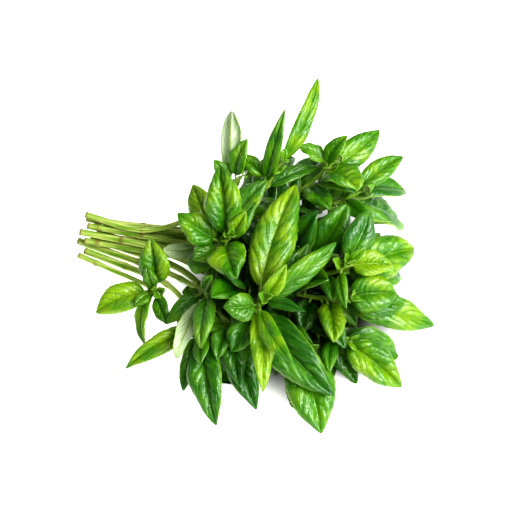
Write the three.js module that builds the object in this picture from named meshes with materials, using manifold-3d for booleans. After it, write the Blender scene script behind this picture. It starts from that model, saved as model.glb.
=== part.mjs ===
// A loose bunch of cut basil lying on a table: fourteen leafy stems, each one solid.
//
// Millimetres, +Z up. The cut ends point to -X and the leafy tops spread towards +X, so the bunch
// is longest along X. The origin is at the middle of the bunch's footprint, on the table.

import * as THREE from 'three';
import Module from 'manifold-3d';

const wasm = await Module();
wasm.setup();

// ---------------------------------------------------------------------------------------------
// Driving dimensions
// ---------------------------------------------------------------------------------------------

const BLADE_THICKNESS = 0.6;
const STALK_WIDTH = 1.9;
const STALK_THICKNESS = 1.5;
const STEM_RADIUS_AT_CUT = 2.35;
const STEM_RADIUS_AT_BUD = 1.1;
const STEM_TAPER_LENGTH = 110;
const STEM_TAPER_POWER = 0.7;
const STEM_SIDES = 6;

// The heap of leaves is roughly half an egg. Its leaves face away from a core below its middle.
const HEAP = { x: 26, y: -4, halfLength: 94, halfWidth: 106, height: 84 };
const HEAP_CORE = new THREE.Vector3(14, 0, -42);

// The leaves that are placed one by one also turn towards the light, which comes from the front.
const LIGHT_WAY = new THREE.Vector3(0, -0.57, 0.82);
const LIGHT_PULL = 0.6;

// The middle of the footprint, in the coordinates that the places below are given in.
const FOOTPRINT_MIDDLE = new THREE.Vector3(0.6, -3, 0);

// A place is given as on an oblique front elevation of the bunch, drawn from SIGHT_ANGLE above the
// table: how far across it is, how far up the drawing, and its height above the table.
const SIGHT_ANGLE = THREE.MathUtils.degToRad(55);

function place(across, up, height) {
  const back = (up - height * Math.cos(SIGHT_ANGLE)) / Math.sin(SIGHT_ANGLE);
  return new THREE.Vector3(across, back, height);
}

// ---------------------------------------------------------------------------------------------
// The fourteen leafy stems
//
// Their bare ends lie in three layers, the lowest flat on the table, with one more stem across them.
//
// cut, neck: where the stem is cut and where it leaves the bundle, [x, y, height]
// tip: the bud, [across, up, height]; rise: how steeply the stem meets it, 0 level to 1 upright
// leaves: [distance of the leaf's joint from the bud, its tip's across, up and height,
//          its width, its roll in degrees]
// ---------------------------------------------------------------------------------------------

const LAYER_STEP = 5.3;
const LOW = STEM_RADIUS_AT_CUT * Math.cos(Math.PI / STEM_SIDES);
const MIDDLE = LOW + LAYER_STEP;
const HIGH = MIDDLE + LAYER_STEP;
const TOP = HIGH + LAYER_STEP;

const SPRIGS = [
  {
    name: 'front_crown',
    cut: [-117, 40.5, HIGH],
    neck: [-63, 27, HIGH],
    tip: [7, -4, 56],
    rise: 0.8,
    leaves: [
      [14, 29, 71, 74, 32, -10],
      [10, 55, 33, 68, 18, 35],
      [16, 7, -63, 34, 17, -25],
      [10, 27, -46, 50, 13, 10],
      [8, -15, -18, 52, 19, 0],
      [8, 24, 20, 66, 13, 20],
      [6, 37, -13, 58, 9, 0],
      [20, 37, 32, 58, 16, 15],
      [30, 53, -66, 20, 30, 0],
      [22, -13, -38, 34, 22, 0],
      [36, 22, -44, 28, 16, 0],
    ],
  },
  {
    name: 'left_crown',
    cut: [-112, 45.3, HIGH],
    neck: [-60, 34, HIGH],
    tip: [-15, 37, 60],
    rise: 0.8,
    leaves: [
      [12, -21, 84, 84, 27, 0],
      [16, -49, 52, 62, 22, 0],
      [8, -10, 9, 60, 27, 0],
      [20, -39, 21, 46, 20, 0],
      [26, 10, 74, 70, 22, 0],
      [6, 0, 53, 70, 13, 20],
      [30, -36, 74, 56, 20, 0],
      [34, -37, 12, 38, 20, 0],
      [34, -11, 0, 34, 20, 0],
      [44, -59, 28, 36, 11, 150],
    ],
  },
  {
    name: 'right_crown',
    cut: [-110, 42.1, MIDDLE],
    neck: [-61, 33.5, MIDDLE],
    tip: [62, 19, 58],
    rise: 0.7,
    leaves: [
      [14, 108, 29, 36, 32, 0],
      [46, 63, 58, 66, 26, 0],
      [6, 92, 18, 50, 19, 0],
      [4, 74, 29, 68, 7, 0],
      [18, 84, 42, 46, 16, 0],
      [8, 61, -10, 52, 11, 60],
      [10, 52, 22, 66, 9, 0],
    ],
  },
  {
    name: 'back_crown',
    cut: [-113, 51.6, HIGH],
    neck: [-58, 41, HIGH],
    tip: [19, 86, 72],
    rise: 0.75,
    leaves: [
      [8, 44, 143, 97, 13, 40],
      [26, 29, 124, 92, 12, 0],
      [20, -5, 94, 74, 14, 0],
      [8, 20, 80, 68, 14, 0],
      [30, 46, 83, 60, 12, 0],
    ],
  },
  {
    name: 'back_right',
    cut: [-100, 52.8, MIDDLE],
    neck: [-57, 46.5, MIDDLE],
    tip: [54, 86, 66],
    rise: 0.6,
    leaves: [
      [10, 70, 67, 70, 30, 0],
      [6, 32, 98, 74, 15, 0],
      [14, 86, 109, 62, 20, 30],
      [20, 90, 96, 54, 20, 0],
      [8, 68, 104, 76, 12, 0],
      [30, 52, 54, 56, 20, 0],
    ],
  },
  {
    name: 'right_back',
    cut: [-106, 47.6, MIDDLE],
    neck: [-59, 40, MIDDLE],
    tip: [73, 67, 50],
    rise: 0.4,
    leaves: [
      [8, 102, 91, 50, 17, 0],
      [14, 79, 49, 56, 12, 50],
      [8, 81, 66, 56, 9, 160],
      [22, 92, 67, 34, 14, 0],
      [18, 93, 47, 40, 12, 130],
    ],
  },
  {
    name: 'right_front',
    cut: [-114, 36.8, MIDDLE],
    neck: [-64, 27, MIDDLE],
    tip: [63, -3, 44],
    rise: 0.5,
    leaves: [
      [8, 94, 0, 44, 28, 0],
      [16, 121, -22, 10, 23, 0],
      [22, 55, -24, 46, 20, 0],
      [14, 80, -28, 22, 16, 0],
      [22, 99, -30, 12, 14, 0],
      [26, 60, -38, 24, 14, 0],
      [34, 36, -22, 38, 22, 0],
    ],
  },
  {
    name: 'left_front',
    cut: [-119, 40.7, LOW],
    neck: [-66, 18, LOW],
    tip: [-25, 1, 42],
    rise: 0.6,
    leaves: [
      [8, -48, -45, 30, 14, 130],
      [6, -33, -36, 36, 17, 10],
      [12, -21, 14, 54, 10, 0],
      [20, -57, -21, 18, 13, 0],
      [36, -49, -20, 18, 16, 0],
    ],
  },
  {
    name: 'front_foot',
    cut: [-114, 32.5, LOW],
    neck: [-69, 11.5, LOW],
    tip: [-31, -30, 24],
    rise: 0.35,
    leaves: [
      [12, -83, -50, 8, 15, 0],
      [8, -23, -86, 3, 25, 0],
      [16, -65, -27, 14, 14, 0],
      [6, -29, -50, 24, 13, 0],
      [14, -47, -61, 12, 12, 0],
      [12, -39, -65, 8, 13, 0],
    ],
  },
  {
    name: 'left_low',
    cut: [-118, 28.6, LOW],
    neck: [-73, 5, LOW],
    tip: [-63, 0, 22],
    rise: 0.55,
    leaves: [
      [8, -67, 36, 44, 24, 15],
      [12, -104, -14, 6, 23, 0],
      [14, -70, -35, 8, 16, 15],
      [6, -68, 19, 34, 11, 10],
      [10, -56, -21, 14, 13, 0],
      [5, -78, -9, 20, 10, 0],
    ],
  },
  {
    name: 'front_left',
    cut: [-110, 43, LOW],
    neck: [-63, 24.5, LOW],
    tip: [-13, -20, 34],
    rise: 0.5,
    leaves: [
      [14, 3, -76, 6, 22, 0],
      [8, -8, -61, 18, 18, 0],
      [5, -24, -42, 32, 14, 0],
      [12, -34, -28, 32, 14, 0],
    ],
  },
  {
    name: 'front_low',
    cut: [-106, 47.7, LOW],
    neck: [-61, 31, LOW],
    tip: [35, -35, 26],
    rise: 0.35,
    leaves: [
      [10, 45, -91, 2, 34, 0],
      [24, 15, -60, 14, 18, 0],
    ],
  },
  {
    name: 'front_right',
    cut: [-102, 52.5, LOW],
    neck: [-59, 37.5, LOW],
    tip: [62, -31, 24],
    rise: 0.3,
    leaves: [
      [8, 98, -62, 3, 25, 0],
      [10, 50, -51, 26, 11, 30],
      [24, 69, -55, 14, 17, 0],
    ],
  },
  {
    name: 'back_left',
    cut: [-113, 51, TOP],
    neck: [-90, 42, TOP],
    tip: [-6, 78, 58],
    rise: 0.6,
    leaves: [
      [14, -14, 115, 98, 16, 180],
      [12, -26, 88, 60, 12, 0],
      [8, 3, 102, 70, 15, 0],
    ],
  },
];

// ---------------------------------------------------------------------------------------------
// Small helpers
// ---------------------------------------------------------------------------------------------

const UP = new THREE.Vector3(0, 0, 1);
const radians = THREE.MathUtils.degToRad;

// Seeded draws from 0 to 1 (mulberry32), so every build grows the same bunch.
function drawsFrom(seed) {
  let state = seed >>> 0;
  return () => {
    state = (state + 0x6d2b79f5) >>> 0;
    let mixed = Math.imul(state ^ (state >>> 15), 1 | state);
    mixed = (mixed + Math.imul(mixed ^ (mixed >>> 7), 61 | mixed)) ^ mixed;
    return ((mixed ^ (mixed >>> 14)) >>> 0) / 4294967296;
  };
}

function squareTo(vector, axis) {
  return vector.clone().addScaledVector(axis, -vector.dot(axis)).normalize();
}

// ---------------------------------------------------------------------------------------------
// Stems: straight from the cut to the neck, then a Bezier curve up into the heap
// ---------------------------------------------------------------------------------------------

const NECK_REACH = 0.42;
const TIP_REACH = 0.34;
const CURVE_STEPS = 60;

function stemPath(sprig) {
  const cut = new THREE.Vector3(...sprig.cut);
  const neck = new THREE.Vector3(...sprig.neck);
  const tip = place(...sprig.tip);
  const span = neck.distanceTo(tip);
  const along = neck.clone().sub(cut).normalize();
  const outward = tip.clone().sub(neck).setZ(0).normalize();
  const atTip = outward.multiplyScalar(1 - sprig.rise).addScaledVector(UP, sprig.rise).normalize();
  const curve = new THREE.CubicBezierCurve3(
    neck,
    neck.clone().addScaledVector(along, span * NECK_REACH),
    tip.clone().addScaledVector(atTip, -span * TIP_REACH),
    tip,
  );
  const points = [cut];
  for (let step = 0; step <= CURVE_STEPS; step += 1) {
    points.push(curve.getPoint(step / CURVE_STEPS));
  }
  const fromTip = new Array(points.length).fill(0);
  for (let index = points.length - 2; index >= 0; index -= 1) {
    fromTip[index] = fromTip[index + 1] + points[index].distanceTo(points[index + 1]);
  }
  return { points, fromTip, length: fromTip[0] };
}

// The point and direction of a stem at a distance from its bud.
function onStem(path, distance) {
  let index = path.points.length - 2;
  while (index > 0 && path.fromTip[index] < distance) {
    index -= 1;
  }
  const start = path.points[index];
  const end = path.points[index + 1];
  const share = (path.fromTip[index] - distance) / (path.fromTip[index] - path.fromTip[index + 1]);
  return { point: start.clone().lerp(end, share), direction: end.clone().sub(start).normalize() };
}

function stemRadius(distance) {
  const grown = Math.min(1, distance / STEM_TAPER_LENGTH);
  return STEM_RADIUS_AT_BUD + (STEM_RADIUS_AT_CUT - STEM_RADIUS_AT_BUD) * grown ** STEM_TAPER_POWER;
}

// ---------------------------------------------------------------------------------------------
// Leaves
// ---------------------------------------------------------------------------------------------

const LARGE_LEAF_LENGTH = 34;
const LARGE_LEAF_WIDTH = 15;
const LARGE_ROWS = [0, 0.18, 0.44, 0.76, 1];
const SMALL_ROWS = [0, 0.22, 0.64, 1];
const LARGE_COLUMNS = [-1, -0.5, 0, 0.5, 1];
const SMALL_COLUMNS = [-1, 0, 1];

// What a leaf's draws choose between, in this order: how far its midrib arches and how far its halves
// fold up, in degrees; how much they bulge, how high its margin waves, how often, and from where; its
// twist in degrees; its sideways bend; and the power by which its blade draws in to its point.
const ARCH = [34, 64];
const FOLD = [-4, 20];
const BULGE = [0.09, 0.16];
const WAVE_HEIGHT = [0.05, 0.1];
const WAVES = [1.6, 2.8];
const WAVE_START = [0, 2 * Math.PI];
const TWIST = [-25, 25];
const SICKLE = [-0.25, 0.25];
const TAPER = [0.64, 0.94];

// Where along the leaf its twist is nought, and where along the blade it is widest.
const UNTWISTED = 0.45;
const WIDEST = 0.36;

// A stalk is this long, with so much more for each millimetre of leaf. It closes to the leaf's point
// over the last quarter of the blade.
const STALK_LENGTH = 3.5;
const STALK_GROWTH = 0.1;
const STALK_CLOSING = 4;

function between([least, most], share) {
  return least + (most - least) * share;
}

// How wide the blade is, as a share of its greatest width, from its foot (0) to its point (1).
function bladeOutline(share, taper) {
  return (share / WIDEST) ** 0.5 * ((1 - share) / (1 - WIDEST)) ** taper;
}

// A leaf is its joint on the stem, its tip, the way its upper side faces, its width and its bend.
function makeLeaf(root, tip, facing, width, roll, seed) {
  const draw = drawsFrom(seed);
  const arch = radians(between(ARCH, draw()));
  const fold = radians(between(FOLD, draw()));
  const bulge = between(BULGE, draw());
  const wave = between(WAVE_HEIGHT, draw());
  const waves = between(WAVES, draw());
  const phase = between(WAVE_START, draw());
  const twist = radians(between(TWIST, draw()));
  const sickle = between(SICKLE, draw());
  const taper = between(TAPER, draw());
  const chord = tip.distanceTo(root);
  const along = tip.clone().sub(root).normalize();
  const upright = squareTo(facing, along).applyAxisAngle(along, radians(roll));
  const length = (chord * arch) / 2 / Math.sin(arch / 2);
  return {
    root, seed, along, upright, chord, length,
    arch, fold, bulge, wave, waves, phase, twist, sickle, taper,
    side: upright.clone().cross(along),
    halfWidth: width / 2,
    stalk: (STALK_LENGTH + STALK_GROWTH * length) / length,
  };
}

// The midrib is an arc that rises from the joint, bows over to the tip and strays a little to one
// side. The blade twists about it.
function onMidrib(leaf, share) {
  const radius = leaf.length / leaf.arch;
  const turn = leaf.arch * (share - 0.5);
  const point = leaf.root.clone()
    .addScaledVector(leaf.along, leaf.chord / 2 + radius * Math.sin(turn))
    .addScaledVector(leaf.upright, radius * (Math.cos(turn) - Math.cos(leaf.arch / 2)))
    .addScaledVector(leaf.side, leaf.sickle * leaf.length * share * (1 - share));
  const plain = leaf.upright.clone().multiplyScalar(Math.cos(turn))
    .addScaledVector(leaf.along, Math.sin(turn));
  const twist = leaf.twist * (share - UNTWISTED);
  const normal = plain.clone().multiplyScalar(Math.cos(twist))
    .addScaledVector(leaf.side, -Math.sin(twist));
  const side = leaf.side.clone().multiplyScalar(Math.cos(twist))
    .addScaledVector(plain, Math.sin(twist));
  return { point, normal, side };
}

// A point of the leaf's middle surface: share runs from joint to tip, across from edge to edge.
// Each half of the blade swells between midrib and margin, and the margin waves. Where the table
// would be in the way, the blade lies flat on it.
function onLeaf(leaf, share, across) {
  const { point, normal, side } = onMidrib(leaf, share);
  const blade = Math.max(0, (share - leaf.stalk) / (1 - leaf.stalk));
  const broad = share > leaf.stalk ? Math.max(0, leaf.halfWidth * bladeOutline(blade, leaf.taper)) : 0;
  const half = Math.max(broad, (STALK_WIDTH / 2) * Math.min(1, (1 - blade) * STALK_CLOSING));
  const out = Math.abs(across);
  const turn = 2 * Math.PI * leaf.waves * blade + leaf.phase + across;
  const ripple = leaf.wave * Math.sin(turn) * out ** 3;
  const swell = Math.sin(leaf.fold) * out + leaf.bulge * Math.sin(Math.PI * out) + ripple;
  point.addScaledVector(side, across * half * Math.cos(leaf.fold));
  point.addScaledVector(normal, broad * swell);
  const thickness = blade > 0 ? BLADE_THICKNESS : STALK_THICKNESS;
  if (point.z < thickness / 2) {
    point.z = thickness / 2;
    return { point, normal: UP, thickness };
  }
  return { point, normal, thickness };
}

// The closed solid of a leaf: rows from joint to tip, columns across, an upper and a lower face
// split alike, and walls round the edge. The stalk has only its four corners, and the last row is
// drawn together to the leaf's point.
function leafGeometry(leaf) {
  const long = leaf.seed < SHELL_SEED && leaf.chord > LARGE_LEAF_LENGTH;
  const rows = long ? LARGE_ROWS : SMALL_ROWS;
  const columns = long && leaf.halfWidth * 2 > LARGE_LEAF_WIDTH ? LARGE_COLUMNS : SMALL_COLUMNS;
  const shares = [0, ...rows.map((row) => leaf.stalk + (1 - leaf.stalk) * row)];
  const positions = [];
  const upper = [];
  const lower = [];
  shares.forEach((share, row) => {
    upper.push([]);
    lower.push([]);
    const last = row === shares.length - 1;
    columns.forEach((across, column) => {
      const onStalk = share <= leaf.stalk;
      const merged = last || (onStalk && (across < 0) === (columns[column - 1] < 0));
      if (column > 0 && merged) {
        upper[row].push(upper[row].at(-1));
        lower[row].push(lower[row].at(-1));
        return;
      }
      const corner = onStalk ? Math.sign(across + 0.1) : across;
      const { point, normal, thickness } = onLeaf(leaf, share, last ? 0 : corner);
      upper[row].push(positions.length / 3);
      positions.push(...point.clone().addScaledVector(normal, thickness / 2));
      lower[row].push(positions.length / 3);
      positions.push(...point.clone().addScaledVector(normal, -thickness / 2));
    });
  });
  const faces = [];
  const quad = (a, b, c, d) => {
    for (const face of [[a, b, c], [a, c, d]]) {
      if (new Set(face).size === 3) {
        faces.push(...face);
      }
    }
  };
  const end = columns.length - 1;
  for (let row = 0; row < shares.length - 1; row += 1) {
    for (let column = 0; column < end; column += 1) {
      const [u, v] = [upper[row], upper[row + 1]];
      const [p, q] = [lower[row], lower[row + 1]];
      quad(u[column], v[column], v[column + 1], u[column + 1]);
      quad(p[column], p[column + 1], q[column + 1], q[column]);
    }
    quad(lower[row][0], lower[row + 1][0], upper[row + 1][0], upper[row][0]);
    quad(upper[row][end], upper[row + 1][end], lower[row + 1][end], lower[row][end]);
  }
  quad(lower[0][0], upper[0][0], upper[0][end], lower[0][end]);
  const geometry = new THREE.BufferGeometry();
  geometry.setAttribute('position', new THREE.Float32BufferAttribute(positions, 3));
  geometry.setIndex(faces);
  return geometry;
}

// ---------------------------------------------------------------------------------------------
// Room: no leaf or stem touches a neighbour, so the space that is taken is kept as points
// ---------------------------------------------------------------------------------------------

const SAMPLE_SPACING = 1.3;
const COLUMN_ROOM = 1.05;
const LEAF_ROOM = 0.95;
const STEM_CLEARANCE = 0.9;
const CELL_SIZE = 4.5;
const CELLS_ACROSS = 1024;
const FUSED_REACH = 9;

class TakenSpace {
  constructor() {
    this.cells = new Map();
  }

  static key(i, j, k) {
    const half = CELLS_ACROSS / 2;
    return ((i + half) * CELLS_ACROSS + (j + half)) * CELLS_ACROSS + (k + half);
  }

  add(samples, sprig) {
    for (const sample of samples) {
      const cell = TakenSpace.key(...sample.point.toArray().map((x) => Math.floor(x / CELL_SIZE)));
      if (!this.cells.has(cell)) {
        this.cells.set(cell, []);
      }
      this.cells.get(cell).push({ ...sample, sprig });
    }
  }

  // Near its joint a leaf may touch its own stem and the other leaves of that stem.
  hasRoomFor(samples, sprig) {
    return samples.every((sample) => {
      const [x, y, z] = sample.point.toArray().map((value) => Math.floor(value / CELL_SIZE));
      for (let i = x - 1; i <= x + 1; i += 1) {
        for (let j = y - 1; j <= y + 1; j += 1) {
          for (let k = z - 1; k <= z + 1; k += 1) {
            for (const other of this.cells.get(TakenSpace.key(i, j, k)) ?? []) {
              const fused = other.sprig === sprig && (sample.rooted || other.rooted);
              const apart = sample.radius + other.radius;
              if (!fused && sample.point.distanceToSquared(other.point) < apart * apart) {
                return false;
              }
            }
          }
        }
      }
      return true;
    });
  }
}

function stemSamples(path) {
  const samples = [];
  for (let distance = 0; distance <= path.length; distance += SAMPLE_SPACING) {
    const radius = stemRadius(distance) + STEM_CLEARANCE;
    samples.push({ point: onStem(path, distance).point, radius, rooted: false });
  }
  return samples;
}

function leafSamples(leaf) {
  const samples = [];
  const rows = Math.ceil(leaf.length / SAMPLE_SPACING);
  const columns = 2 * Math.ceil((leaf.halfWidth * COLUMN_ROOM) / SAMPLE_SPACING);
  for (let row = 1; row <= rows; row += 1) {
    const share = row / rows;
    const first = share <= leaf.stalk ? columns / 2 : 0;
    for (let column = first; column <= columns - first; column += 1) {
      const across = (2 * column) / columns - 1;
      const { point } = onLeaf(leaf, share, across);
      const rooted = point.distanceTo(leaf.root) < FUSED_REACH;
      samples.push({ point, radius: LEAF_ROOM, rooted });
    }
  }
  return samples;
}

// ---------------------------------------------------------------------------------------------
// Growing the leaves
// ---------------------------------------------------------------------------------------------

const SWING_RINGS = 5;
const SWINGS_IN_RING = 8;
const GIVEN_SWING = radians(5);
const RULED_SWING = radians(6);
const SIZES_TRIED = [1, 0.86, 0.72];

// Tries the leaf where it is wanted, then swung ever further about its joint, then smaller.
function placeLeaf(taken, sprig, wanted, swing, seed) {
  const reach = wanted.tip.clone().sub(wanted.root);
  const side = wanted.facing.clone().cross(reach).normalize();
  for (const size of SIZES_TRIED) {
    for (let ring = 0; ring <= SWING_RINGS; ring += 1) {
      for (let turn = 0; turn < (ring ? SWINGS_IN_RING : 1); turn += 1) {
        const way = (2 * Math.PI * turn) / SWINGS_IN_RING;
        const tip = reach.clone().multiplyScalar(size)
          .applyAxisAngle(side, -ring * swing * Math.cos(way))
          .applyAxisAngle(wanted.facing, ring * swing * Math.sin(way))
          .add(wanted.root);
        const leaf = makeLeaf(wanted.root, tip, wanted.facing, wanted.width * size, wanted.roll, seed);
        const samples = leafSamples(leaf);
        if (taken.hasRoomFor(samples, sprig)) {
          taken.add(samples, sprig);
          return leaf;
        }
      }
    }
  }
  return null;
}

// Every stem has joints this far apart, down to its bare length, with young leaves round its bud.
const JOINT_SPACING = 6;
const FIRST_JOINT = 10;
const BARE_LENGTH = 50;
const YOUNG_LEAF = { distance: 2, length: 12, open: 24 };

// The rest of the leaves reach for evenly spread points on shells of the heap, the outermost first.
const SHELLS = [
  { size: 0.94, leaves: 150 },
  { size: 0.78, leaves: 130 },
  { size: 0.6, leaves: 110 },
];
const GOLDEN_ANGLE = Math.PI * (3 - Math.sqrt(5));
const USUAL_LEAF = 44;
const LONGEST_LEAF = 64;
const WIDTH_TO_LENGTH = 0.5;
const OUTWARD_PULL = 0.3;

function jointsOf(path) {
  const joints = [];
  for (let distance = FIRST_JOINT; distance < path.length - BARE_LENGTH; distance += JOINT_SPACING) {
    joints.push(distance);
  }
  return joints;
}

function shellPoint(shell, number) {
  const height = (number + 0.5) / shell.leaves;
  const round = Math.sqrt(1 - height * height);
  const way = number * GOLDEN_ANGLE;
  return new THREE.Vector3(
    HEAP.x + HEAP.halfLength * shell.size * round * Math.cos(way),
    HEAP.y + HEAP.halfWidth * shell.size * round * Math.sin(way),
    HEAP.height * shell.size * height,
  );
}

// The joint that is the nearest to a usual leaf's length from the point, on the heap's inside.
function jointFor(sprigs, tip) {
  const outward = tip.clone().sub(HEAP_CORE).normalize();
  let best = null;
  for (const sprig of sprigs) {
    for (const distance of sprig.freeJoints) {
      const root = onStem(sprig.path, distance).point;
      const reach = tip.clone().sub(root);
      const misfit = Math.abs(reach.length() - USUAL_LEAF) - OUTWARD_PULL * reach.dot(outward);
      if (reach.length() < LONGEST_LEAF && (!best || misfit < best.misfit)) {
        best = { sprig, root, misfit, distance };
      }
    }
  }
  return best;
}

function youngLeaves(path, firstWay) {
  const { point, direction } = onStem(path, YOUNG_LEAF.distance);
  const across = squareTo(UP, direction).applyAxisAngle(direction, firstWay);
  const open = radians(YOUNG_LEAF.open);
  return [1, -1].map((side) => {
    const outward = across.clone().multiplyScalar(side * Math.sin(open));
    const reach = outward.addScaledVector(direction, Math.cos(open));
    return {
      root: point,
      tip: point.clone().addScaledVector(reach, YOUNG_LEAF.length),
      facing: direction,
      width: YOUNG_LEAF.length * WIDTH_TO_LENGTH,
      roll: 0,
    };
  });
}

function givenLeaf(path, [distance, across, up, height, width, roll]) {
  const root = onStem(path, distance).point;
  const tip = place(across, up, height);
  const facing = root.clone().lerp(tip, 0.5).sub(HEAP_CORE).normalize()
    .addScaledVector(LIGHT_WAY, LIGHT_PULL).normalize();
  return { root, tip, facing, width, roll };
}

const SPRIG_SEED = 1000;
const YOUNG_SEED = 500;
const SHELL_SEED = 20000;

function growSprigs() {
  const taken = new TakenSpace();
  const sprigs = SPRIGS.map((sprig, number) => {
    const path = stemPath(sprig);
    const firstWay = Math.PI * drawsFrom(SPRIG_SEED * number + YOUNG_SEED)();
    taken.add(stemSamples(path), number);
    const freeJoints = new Set(jointsOf(path));
    return { ...sprig, number, path, firstWay, freeJoints, leaves: [], given: sprig.leaves };
  });
  const grow = (sprig, wanted, swing, seed) => {
    const leaf = placeLeaf(taken, sprig.number, wanted, swing, seed);
    if (leaf) {
      sprig.leaves.push(leaf);
    }
    return leaf;
  };
  for (const sprig of sprigs) {
    sprig.given.forEach((given, index) => {
      grow(sprig, givenLeaf(sprig.path, given), GIVEN_SWING, SPRIG_SEED * sprig.number + index);
    });
    youngLeaves(sprig.path, sprig.firstWay).forEach((wanted, side) => {
      grow(sprig, wanted, GIVEN_SWING, SPRIG_SEED * sprig.number + YOUNG_SEED + side + 1);
    });
  }
  SHELLS.forEach((shell, layer) => {
    for (let number = 0; number < shell.leaves; number += 1) {
      const tip = shellPoint(shell, number);
      const joint = jointFor(sprigs, tip);
      if (!joint) {
        continue;
      }
      const facing = joint.root.clone().lerp(tip, 0.5).sub(HEAP_CORE).normalize();
      const width = tip.distanceTo(joint.root) * WIDTH_TO_LENGTH;
      const wanted = { root: joint.root, tip, facing, width, roll: 0 };
      if (grow(joint.sprig, wanted, RULED_SWING, SHELL_SEED * (layer + 1) + number)) {
        joint.sprig.freeJoints.delete(joint.distance);
      }
    }
  });
  return sprigs;
}

// ---------------------------------------------------------------------------------------------
// Solids
// ---------------------------------------------------------------------------------------------

const STEM_RING_SPACING = 19;
const LAST_RING = 1.2;
const NO_RING_WITHIN = 3;

// Six-sided rings, closed by a flat cut at one end and by the bud's point at the other.
function stemGeometry(path) {
  const distances = [];
  distances.push(path.length);
  for (let distance = path.fromTip[1]; distance > NO_RING_WITHIN; distance -= STEM_RING_SPACING) {
    distances.push(distance);
  }
  distances.push(LAST_RING);
  const positions = [];
  const faces = [];
  let across = squareTo(UP, onStem(path, path.length).direction);
  distances.forEach((distance, ring) => {
    const { point, direction } = onStem(path, distance);
    const radius = stemRadius(distance);
    across = squareTo(across, direction);
    const beside = direction.clone().cross(across);
    for (let corner = 0; corner < STEM_SIDES; corner += 1) {
      const angle = (2 * Math.PI * (corner + 0.5)) / STEM_SIDES;
      const vertex = point.clone()
        .addScaledVector(across, radius * Math.cos(angle))
        .addScaledVector(beside, radius * Math.sin(angle));
      positions.push(vertex.x, vertex.y, Math.max(0, vertex.z));
      const next = (corner + 1) % STEM_SIDES;
      if (ring > 0) {
        const [a, b] = [(ring - 1) * STEM_SIDES + corner, (ring - 1) * STEM_SIDES + next];
        faces.push(a, b, b + STEM_SIDES, a, b + STEM_SIDES, a + STEM_SIDES);
      }
    }
  });
  const lastRing = (distances.length - 1) * STEM_SIDES;
  const bud = positions.length / 3;
  positions.push(...path.points.at(-1));
  for (let corner = 0; corner < STEM_SIDES; corner += 1) {
    faces.push(lastRing + corner, lastRing + ((corner + 1) % STEM_SIDES), bud);
  }
  for (let corner = 1; corner < STEM_SIDES - 1; corner += 1) {
    faces.push(0, corner + 1, corner);
  }
  const geometry = new THREE.BufferGeometry();
  geometry.setAttribute('position', new THREE.Float32BufferAttribute(positions, 3));
  geometry.setIndex(faces);
  return geometry;
}

function toSolid(geometry) {
  return new wasm.Manifold(new wasm.Mesh({
    numProp: 3,
    vertProperties: new Float32Array(geometry.attributes.position.array),
    triVerts: new Uint32Array(geometry.index.array),
  }));
}

function fromSolid(solid) {
  const { vertProperties, triVerts } = solid.getMesh();
  const geometry = new THREE.BufferGeometry();
  geometry.setAttribute('position', new THREE.BufferAttribute(vertProperties, 3));
  geometry.setIndex(new THREE.BufferAttribute(triVerts, 1));
  return geometry;
}

const LEAF_GREEN = new THREE.MeshStandardMaterial({ color: 0x3f8f1e, roughness: 0.45, metalness: 0 });

const bunch = new THREE.Group();
for (const sprig of growSprigs()) {
  let solid = toSolid(stemGeometry(sprig.path));
  for (const leaf of sprig.leaves) {
    solid = solid.add(toSolid(leafGeometry(leaf)));
  }
  const mesh = new THREE.Mesh(fromSolid(solid), LEAF_GREEN);
  mesh.name = sprig.name;
  mesh.position.copy(FOOTPRINT_MIDDLE).negate();
  bunch.add(mesh);
}

export default bunch;
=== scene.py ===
"""The looks of a loose bunch of cut basil, built around its packed leafy stems.

Every leafy stem of the frame is one plain solid. This script finds how each of its leaves lies,
and puts a fine blade, stalk and stem in its place. Lengths are in millimetres up to the corners of
a mesh, which are in metres.
"""

import logging
import math
from dataclasses import dataclass, field
from enum import Enum
from typing import Any, Iterator, Sequence

import bmesh
import bpy
import numpy as np
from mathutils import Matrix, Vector
from mathutils.kdtree import KDTree

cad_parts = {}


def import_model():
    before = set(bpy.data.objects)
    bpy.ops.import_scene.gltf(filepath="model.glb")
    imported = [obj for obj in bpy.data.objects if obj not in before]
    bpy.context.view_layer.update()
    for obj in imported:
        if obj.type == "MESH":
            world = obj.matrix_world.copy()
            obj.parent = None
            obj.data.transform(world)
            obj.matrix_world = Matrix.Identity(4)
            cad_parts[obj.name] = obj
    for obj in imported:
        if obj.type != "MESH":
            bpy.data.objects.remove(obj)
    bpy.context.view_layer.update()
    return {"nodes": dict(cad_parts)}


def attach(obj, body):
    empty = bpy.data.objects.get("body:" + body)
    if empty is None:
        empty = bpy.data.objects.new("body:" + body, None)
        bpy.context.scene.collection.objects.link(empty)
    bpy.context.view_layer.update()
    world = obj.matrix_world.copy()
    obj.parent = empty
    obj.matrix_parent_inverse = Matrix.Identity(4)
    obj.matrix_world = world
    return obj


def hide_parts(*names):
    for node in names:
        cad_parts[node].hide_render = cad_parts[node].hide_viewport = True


log = logging.getLogger("basil")

MM = 0.001
UP = np.array([0.0, 0.0, 1.0])

# ------------------------------------------------------------------------------------------------
# Sizes that the solids were grown from
# ------------------------------------------------------------------------------------------------

BLADE_THICKNESS = 0.6
STALK_WIDTH = 1.9
STEM_RADIUS_AT_CUT = 2.35
STEM_RADIUS_AT_BUD = 1.1
STEM_TAPER_LENGTH = 110
STEM_TAPER_POWER = 0.7
STEM_SIDES = 6

HEAP_MIDDLE = np.array([26.0, -4.0, 0.0])
HEAP_REACH = np.array([94.0, 106.0, 84.0])
HEAP_CORE = np.array([14.0, 0.0, -42.0])
LIGHT_WAY = np.array([0.0, -0.57, 0.82])
LIGHT_PULL = 0.6
FOOTPRINT_MIDDLE = np.array([0.6, -3.0, 0.0])
SIGHT_ANGLE = math.radians(55)

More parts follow.
